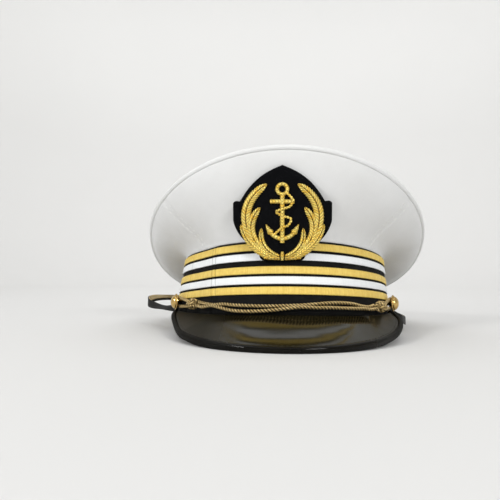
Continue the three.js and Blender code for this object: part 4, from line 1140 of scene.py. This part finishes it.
strap = {
    "width": 6.0, "thickness": 1.4, "steps": 420, "sides": 24, "edgeSquare": 0.4, "faceSquare": 0.5,
    "gap": 0.01, "lining": 0.66, "liningRise": 0.9,
}
strapRoute = np.array([   # angle, out from the band, up from the hem, roll of the upper edge
    (-70.5, 1.4, 3.6, 0), (-73, 3.2, 3.4, 25), (-76.5, 10.5, 3.6, 60), (-79.5, 18, 5.2, 42),
    (-82.5, 24.2, 7.8, 8), (-86, 26.2, 10.6, -10), (-91, 25, 12.9, -36), (-98, 22.5, 14.2, -48),
    (-108, 20, 15, -40), (-125, 13, 15.5, -18), (-150, 7, 15, 0), (-180, 3, 14, 0), (-210, 5, 12, 0),
    (-235, 8, 7.5, 0), (-255, 10, 2, 0), (-268, 12.3, -2.4, 0),
    (-278, 12.2, -4.6, 0), (-285, 9.6, -3.6, 0), (-288, 4.6, -0.4, 0), (-289.5, 1.4, 2.4, 0),
])


def makeStrap():
    # a flat section carried along the route, its width upright and then rolled about the route
    knots = bandPoint(np.radians(strapRoute[:, 0]), strapRoute[:, 2], strapRoute[:, 1])
    line, far = smoothPath(np.column_stack([knots, strapRoute[:, 3]]), strap["steps"])
    path, roll = line[:, :3], np.radians(line[:, 3:])
    ahead = unit(np.gradient(path, axis=0))
    inward = unit(stack(ahead[:, 1], -ahead[:, 0], 0 * far))
    wideWay = straightUp * np.cos(roll) + inward * np.sin(roll)
    thickWay = inward * np.cos(roll) - straightUp * np.sin(roll)
    turn = evenTurn(strap["sides"])
    across = squarish(np.cos(turn), strap["edgeSquare"]) * strap["width"] / 2
    lift = squarish(np.sin(turn), strap["faceSquare"])
    half = strap["thickness"] / 4
    shift = half + strap["gap"]
    layers = (("Outside", strapLeather, -shift, 1, 0), ("Lining", tanLeather, shift, strap["lining"], 1))
    for name, material, middle, share, rise in layers:
        depth = middle + lift * half
        side = across * share + rise * strap["liningRise"]
        points = path[:, None] + thickWay[:, None] * depth[:, None] + wideWay[:, None] * side[:, None]
        skin = gridSkin(points, lastAgain(far), np.append(side, side[0]), "v")
        addPiece("chinStrap" + name, [skin], material, "strap_leather", "chin_strap")
    return far[-1]


strapLength = makeStrap()
print("strap made, length", round(float(strapLength), 1), "mm")

# Badge

badge = {
    "shift": -2.0, "out": 104.7, "rise": 60.8, "lean": 13.0, "bend": 115.0, "thickness": 2.0, "apex": 30.2,
    "halfWidth": 31.8, "notch": 27.0, "notchHeight": 7.6, "earRise": 0.12, "foot": -30.2, "footHalf": 11.0,
    "footRound": 3.5, "belly": 26.8, "bellyWidth": 32.05, "archStraight": 0.48,
    "edgeRound": 1.5, "earRound": 2.6, "rimHeight": 0.25, "columns": 150, "rows": 46, "upUv": 60.0,
    "edgeColumns": (0.0, 0.15, 0.4, 0.8, 1.4, 2.2),   # millimetres in from each side
    "edgeRows": (0.0, 0.004, 0.012, 0.026, 0.045),   # shares of the height, in from each end
}


def badgeToCap(x, y, z):
    # bends the badge's plane about an upright line, then leans it with the crown
    turn = x / badge["bend"]
    radius = badge["bend"] + z
    lean = np.radians(badge["lean"])
    depth = radius * np.cos(turn) - badge["bend"]
    return stack(
        badge["shift"] + radius * np.sin(turn),
        -badge["out"] - depth * np.cos(lean) - y * np.sin(lean),
        badge["rise"] + y * np.cos(lean) - depth * np.sin(lean),
    )


def badgeTop(x):
    # a pointed arch down to the notch, then the ear with its round corner
    side = np.abs(x)
    share = np.minimum(side / badge["notch"], 1)
    fall = badge["apex"] - badge["notchHeight"]
    arch = badge["apex"] - fall * (badge["archStraight"] * share + (1 - badge["archStraight"]) * share ** 3)
    past = np.clip((side - badge["halfWidth"]) / badge["earRound"] + 1, 0, 1)
    corner = badge["earRound"] * (1 - np.sqrt(1 - past ** 2))
    ear = badge["notchHeight"] + badge["earRise"] * (side - badge["notch"]) - corner
    return np.where(side > badge["notch"], ear, arch)


def badgeBottom(x):
    # an oval belly with a narrow flat foot that has round corners
    side = np.abs(x)
    belly = -badge["belly"] * np.sqrt(np.maximum(1 - (side / badge["bellyWidth"]) ** 2, 0))
    past = np.maximum(side - badge["footHalf"], 0) / badge["footRound"]
    foot = badge["foot"] + badge["footRound"] * (1 - np.sqrt(np.maximum(1 - past ** 2, 0)))
    return np.where(past > 1, belly, np.minimum(belly, foot))


def makeBadgeBacking():
    # front and back of the pad between its two outlines; the front rolls down at every edge
    half = badge["halfWidth"]
    near, ends = np.array(badge["edgeColumns"]), np.array(badge["edgeRows"])
    even = np.linspace(-half, half, badge["columns"])
    x = np.unique(np.concatenate([even, near - half, half - near]).round(4))
    inner = np.linspace(ends[-1], 1 - ends[-1], badge["rows"])
    front = np.concatenate([ends[:-1], inner, 1 - ends[-2::-1]])
    shares = np.concatenate([front, front[::-1]])
    low, top = badgeBottom(x)[:, None], badgeTop(x)[:, None]
    y = low + (top - low) * shares[None, :]
    toEdge = np.minimum(np.minimum(y - low, top - y), (half - np.abs(x))[:, None])
    rolled = np.sqrt(1 - (1 - np.clip(toEdge / badge["edgeRound"], 0, 1)) ** 2)
    lift = badge["rimHeight"] + (badge["thickness"] - badge["rimHeight"]) * rolled
    z = np.where(np.arange(len(shares))[None, :] < len(front), lift, 0.0)
    skin = gridSkin(badgeToCap(x[:, None], y, z), lastAgain(x), np.append(shares, 0) * badge["upUv"], "v")
    addPiece("badgePad", [skin], badgeCloth, "badge_cloth", "badge_backing")


# Embroidery on the badge

stitch = {
    "pitch": 1.9, "slant": 0.9, "notch": 0.08, "ripple": 0.14, "veinWidth": 0.13, "domePower": 2.4,
    "faceSides": 21, "underSides": 3, "underSink": 0.1,
}
flatStitch = dict(stitch, notch=0.1, ripple=0.15)


def ridgeSkin(path, far, half, height, sew, vein=0.0):
    # a padded ridge along a path in the badge's plane: a half-round section with a vein down its
    # middle, rippled by slanted stitches that also notch its edges
    face = np.linspace(-1, 1, sew["faceSides"])
    across = np.concatenate([face, np.linspace(1, -1, sew["underSides"] + 2)[1:-1]])
    half, height = [np.broadcast_to(value, far.shape)[:, None] for value in (half, height)]
    slanted = far[:, None] + sew["slant"] * np.abs(across)[None, :] * half
    wave = np.cos(2 * np.pi * slanted / sew["pitch"])
    wide = half * (1 + sew["notch"] * wave)
    dome = np.sqrt(np.maximum(1 - np.abs(across) ** sew["domePower"], 0))[None, :]
    crease = 1 - vein * bell(across, sew["veinWidth"])[None, :]
    base = badge["thickness"]
    z = base + height * dome * crease + sew["ripple"] * wave * dome
    z[:, sew["faceSides"]:] = base - sew["underSink"]
    ahead = unit(np.gradient(path, axis=0))
    x = path[:, :1] + ahead[:, 1:2] * across * wide
    y = path[:, 1:2] - ahead[:, :1] * across * wide
    vLine = np.append(across, across[0]) * float(half.max())
    return gridSkin(badgeToCap(x, y, z), lastAgain(far), vLine, "v")


def bezierPath(first, bend, last, count):
    # a curve from first to last that is drawn towards the bend, with the length and share of each point
    share = np.linspace(0, 1, count)
    s = share[:, None]
    path = np.array(first) * (1 - s) ** 2 + 2 * np.array(bend) * s * (1 - s) + np.array(last) * s ** 2
    return path, runLength(path), share


def straightPath(first, last, count):
    # the same with its bend half-way
    return bezierPath(first, (np.array(first) + np.array(last)) / 2, last, count)


def swelling(share, part):
    # one in the middle and less by this part at both ends, in half a sine
    return 1 - part + part * np.sin(np.pi * share)


leaves = np.array([   # tip, base, outward bow, half width
    (9.4, 18.2, 19.5, -16, 7.8, 3.2), (13.7, 3.6, 12.5, -23, 6.4, 2.7), (12.8, -9.4, 2.1, -27.4, 4.4, 1.9),
    (26.1, -7.2, 7.5, -28, 3.4, 2.1), (22, -12, 4.5, -27.4, 3.2, 2.2),
])
wreath = {
    "height": 1.7, "vein": 0.6, "tip": 0.36, "tipLength": 0.13, "tipStart": 0.01, "swell": 0.25,
    "wideFrom": 0.02, "wideRun": 0.84, "widePower": 0.5, "stepDown": 0.1, "leafSteps": 240,
    "stemHalf": 11.4, "stemRise": -28.6, "stemHeight": 1.3, "stemTaper": 0.7, "stemSteps": 90,
}
tie = {"half": 1.2, "room": 0.4, "top": -24.2, "foot": -29.6, "height": 2.2, "swell": 0.25, "steps": 60}


def makeWreath():
    # each leaf grows by a power of half a sine from its round point to its base, each lies a little
    # lower than the one before, and a short stem lies below them
    w = wreath
    for name, side in (("left", -1), ("right", 1)):
        skins = []
        for order, (tipX, tipY, baseX, baseY, bow, half) in enumerate(leaves):
            tip, base = np.array([side * tipX, tipY]), np.array([side * baseX, baseY])
            along = unit(base - tip)
            bend = (tip + base) / 2 + np.array([-along[1] * side, along[0] * side]) * 2 * bow
            path, far, share = bezierPath(tip, bend, base, w["leafSteps"])
            grown = np.sin(np.pi * (w["wideFrom"] + w["wideRun"] * share)) ** w["widePower"]
            toTip = 1 - np.minimum(share / w["tipLength"] + w["tipStart"], 1)
            wide = half * (w["tip"] + (1 - w["tip"]) * grown) * np.sqrt(1 - toTip ** 2)
            high = w["height"] * swelling(share, w["swell"]) - w["stepDown"] * order
            skins.append(ridgeSkin(path, far, wide, high, stitch, w["vein"]))
        ends = [(side * x, w["stemRise"]) for x in (tie["half"] + tie["room"], w["stemHalf"])]
        path, far, share = straightPath(*ends, w["stemSteps"])
        skins.append(ridgeSkin(path, far, 1 - w["stemTaper"] * share ** 2, w["stemHeight"], flatStitch))
        addPiece("badgeWreath" + titled(name), skins, leafBullion, "gold_bullion", "badge_wreath_" + name)


anchor = {
    "height": 2.0, "bar": 1.45, "bill": 2.4, "crown": -16.2, "shankRise": 0.8, "shankSteps": 260,
    "stockRise": 7.3, "stockReach": 7.4, "stockLow": 0.2, "stockSteps": 160,
    "ring": 3.15, "ringMiddle": 15.0, "ringBar": 1.2, "ringHeight": 1.6, "ringSteps": 240,
    "armReach": 9.6, "armTip": -8.2, "armBend": (7.2, 1.2), "armTaper": 1.2, "armHeight": 1.7,
    "armSteps": 150, "palmFrom": 80, "palmBend": 130,   # the last two are steps along the arm
    "palmTip": (10.0, -7.0), "palmPoint": 0.3, "palmHalf": 2.2, "palmBarb": 0.16, "palmHeight": 1.75,
    "palmSteps": 90, "cable": 0.9, "cablePitch": 3.6, "cableSides": 14, "cableSteps": 420,
    "cableRise": 0.6, "cableOver": 1.7,
}
cableRoute = np.array([   # x, y and 1 where the cable lies on top
    (3.2, 12.4, 0), (6.3, 8.2, 1), (4.6, 4.2, 0), (0, 2.6, 1), (-3.7, 0.8, 0), (0, -1.6, 0), (5.2, -3.6, 0),
    (3.6, -7.6, 0), (0, -9, 1), (-4.6, -13, 0),
])


def makeAnchor():
    # straight bars for the shank and the stock, a ring, two bent arms with palms, and a rope cable
    a = anchor
    top, foot = a["ringMiddle"] - a["ring"] + a["shankRise"], a["crown"] - a["bill"]
    path, far, share = straightPath((0, top), (0, foot), a["shankSteps"])
    skins = [ridgeSkin(path, far, a["bar"], a["height"], flatStitch)]
    ends = [(side * a["stockReach"], a["stockRise"]) for side in (-1, 1)]
    path, far, share = straightPath(*ends, a["stockSteps"])
    skins.append(ridgeSkin(path, far, a["bar"], a["height"] - a["stockLow"], flatStitch))
    turn = np.linspace(0, 2 * np.pi, a["ringSteps"])
    ring = stack(a["ring"] * np.cos(turn), a["ringMiddle"] + a["ring"] * np.sin(turn))
    skins.append(ridgeSkin(ring, turn * a["ring"], a["ringBar"], a["ringHeight"], flatStitch))
    for side in (-1, 1):
        bend = (side * a["armBend"][0], a["crown"] + a["armBend"][1])
        tip = (side * a["armReach"], a["armTip"])
        arm, far, share = bezierPath((0, a["crown"]), bend, tip, a["armSteps"])
        skins.append(ridgeSkin(arm, far, a["bar"] - a["armTaper"] * share ** 4, a["armHeight"], flatStitch))
        tip = (side * a["palmTip"][0], a["palmTip"][1])
        path, far, share = bezierPath(arm[a["palmFrom"]], arm[a["palmBend"]], tip, a["palmSteps"])
        palm = a["palmPoint"] + a["palmHalf"] * np.minimum(share / a["palmBarb"], 1) * (1 - share)
        skins.append(ridgeSkin(path, far, palm, a["palmHeight"], flatStitch))
    line, far = smoothPath(cableRoute, a["cableSteps"])
    height = badge["thickness"] + a["cableRise"] + a["cableOver"] * np.clip(line[:, 2], 0, 1)
    path = badgeToCap(line[:, 0], line[:, 1], height)
    outward = badgeToCap(line[:, 0], line[:, 1], height + 1) - path
    rope = dict(cordRope, radius=a["cable"], pitch=a["cablePitch"], sides=a["cableSides"])
    frames = squareTo(unit(np.gradient(path, axis=0)), outward)
    skins.append(ropeSkin(path, runLength(path), *frames, rope))
    addPiece("badgeAnchor", skins, bullion, "gold_bullion", "badge_anchor")


def makeTie():
    # a short upright ridge over the stems, widest in its middle
    path, far, share = straightPath((0, tie["top"]), (0, tie["foot"]), tie["steps"])
    skin = ridgeSkin(path, far, tie["half"] * swelling(share, tie["swell"]), tie["height"], flatStitch)
    addPiece("badgeTie", [skin], bullion, "gold_bullion", "badge_tie")


makeBadgeBacking()
makeWreath()
makeAnchor()
makeTie()
print("badge made")

# Stage and light

stage = {
    "rings": (0.02, 0.3, 0.7), "flat": 1.1, "curve": 0.6, "wall": 1.4, "sides": 96, "bends": 14,
    "colour": (0.725, 0.723, 0.715), "shade": 0.97, "rough": 0.9, "mottleSize": 0.4, "fine": 0.1,
}


def makeStage():
    # a round floor that bends up into a wall all about
    bend = np.linspace(0, np.pi / 2, stage["bends"])
    outer = stage["flat"] + stage["curve"]
    radius = np.concatenate([stage["rings"], stage["flat"] + stage["curve"] * np.sin(bend), [outer]])
    level = np.zeros(len(stage["rings"]))
    height = np.concatenate([level, stage["curve"] * (1 - np.cos(bend)), [stage["wall"]]])
    turn = evenTurn(stage["sides"])[:, None]
    points = stack(radius * np.sin(turn), radius * np.cos(turn), height)
    rows, columns = points.shape[:2]
    i, j = np.indices((rows, columns - 1)).reshape(2, -1)
    corners = [(i, j), (i, j + 1), (i + 1, j + 1), (i + 1, j)]
    faces = np.stack([(a % rows) * columns + b for a, b in corners], -1).tolist()
    mesh = bpy.data.meshes.new("studioFloor")
    mesh.from_pydata(points.reshape(-1, 3), [], faces + [list(range(0, rows * columns, columns))])
    mesh.shade_smooth()
    material, tree = newMaterial("paleFloor", {"Specular IOR Level": 0.2, "Roughness": stage["rough"]})
    dark = tuple(stage["shade"] * part for part in stage["colour"])
    mottle = unevenOf(tree, stage["mottleSize"], stage["fine"])
    feed(tree, "Base Color", mixColour(tree, mottle, (*dark, 1), (*stage["colour"], 1)))
    mesh.materials.append(material)
    floor = bpy.data.objects.new("studioFloor", mesh)
    bpy.context.scene.collection.objects.link(floor)


lamps = (   # name, place, aim, width, height, watts
    ("overhead", (0.0, -0.1, 1.2), (0, 0, 0.05), 1.3, 1.3, 3.4),
    ("stripLeft", (-0.77, -0.8, 0.51), (0, -0.1, 0.02), 0.22, 0.1, 5.2),
    ("stripRight", (0.52, -1.0, 0.51), (0, -0.1, 0.02), 0.34, 0.08, 5.2),
    ("backdrop", (0.0, 0.5, 1.3), (0, 1.7, 0.45), 1.6, 0.5, 11.0),
)
air = {"colour": (1.0, 1.0, 0.99, 1), "strength": 0.5}


def makeLight():
    # each lamp's own z looks back along its aim, and its x lies level
    for name, place, aim, width, height, watts in lamps:
        data = bpy.data.lights.new(name, "AREA")
        data.shape = "RECTANGLE"
        data.size, data.size_y, data.energy = width, height, watts
        lamp = bpy.data.objects.new(name, data)
        bpy.context.scene.collection.objects.link(lamp)
        back = unit(np.array(place, float) - np.array(aim, float))
        right = unit(np.cross(straightUp, back)) if abs(back[2]) < 0.99 else np.array([1.0, 0, 0])
        turn = np.eye(4)
        turn[:3, :3] = np.stack([right, np.cross(back, right), back], -1)
        turn[:3, 3] = place
        lamp.matrix_world = Matrix(turn.tolist())
    world = bpy.data.worlds.new("studioAir")
    world.use_nodes = True
    background = world.node_tree.nodes["Background"].inputs
    background["Color"].default_value = air["colour"]
    background["Strength"].default_value = air["strength"]
    bpy.context.scene.world = world
    bpy.context.scene.view_settings.view_transform = "Standard"


makeStage()
makeLight()
print("stage and light made")
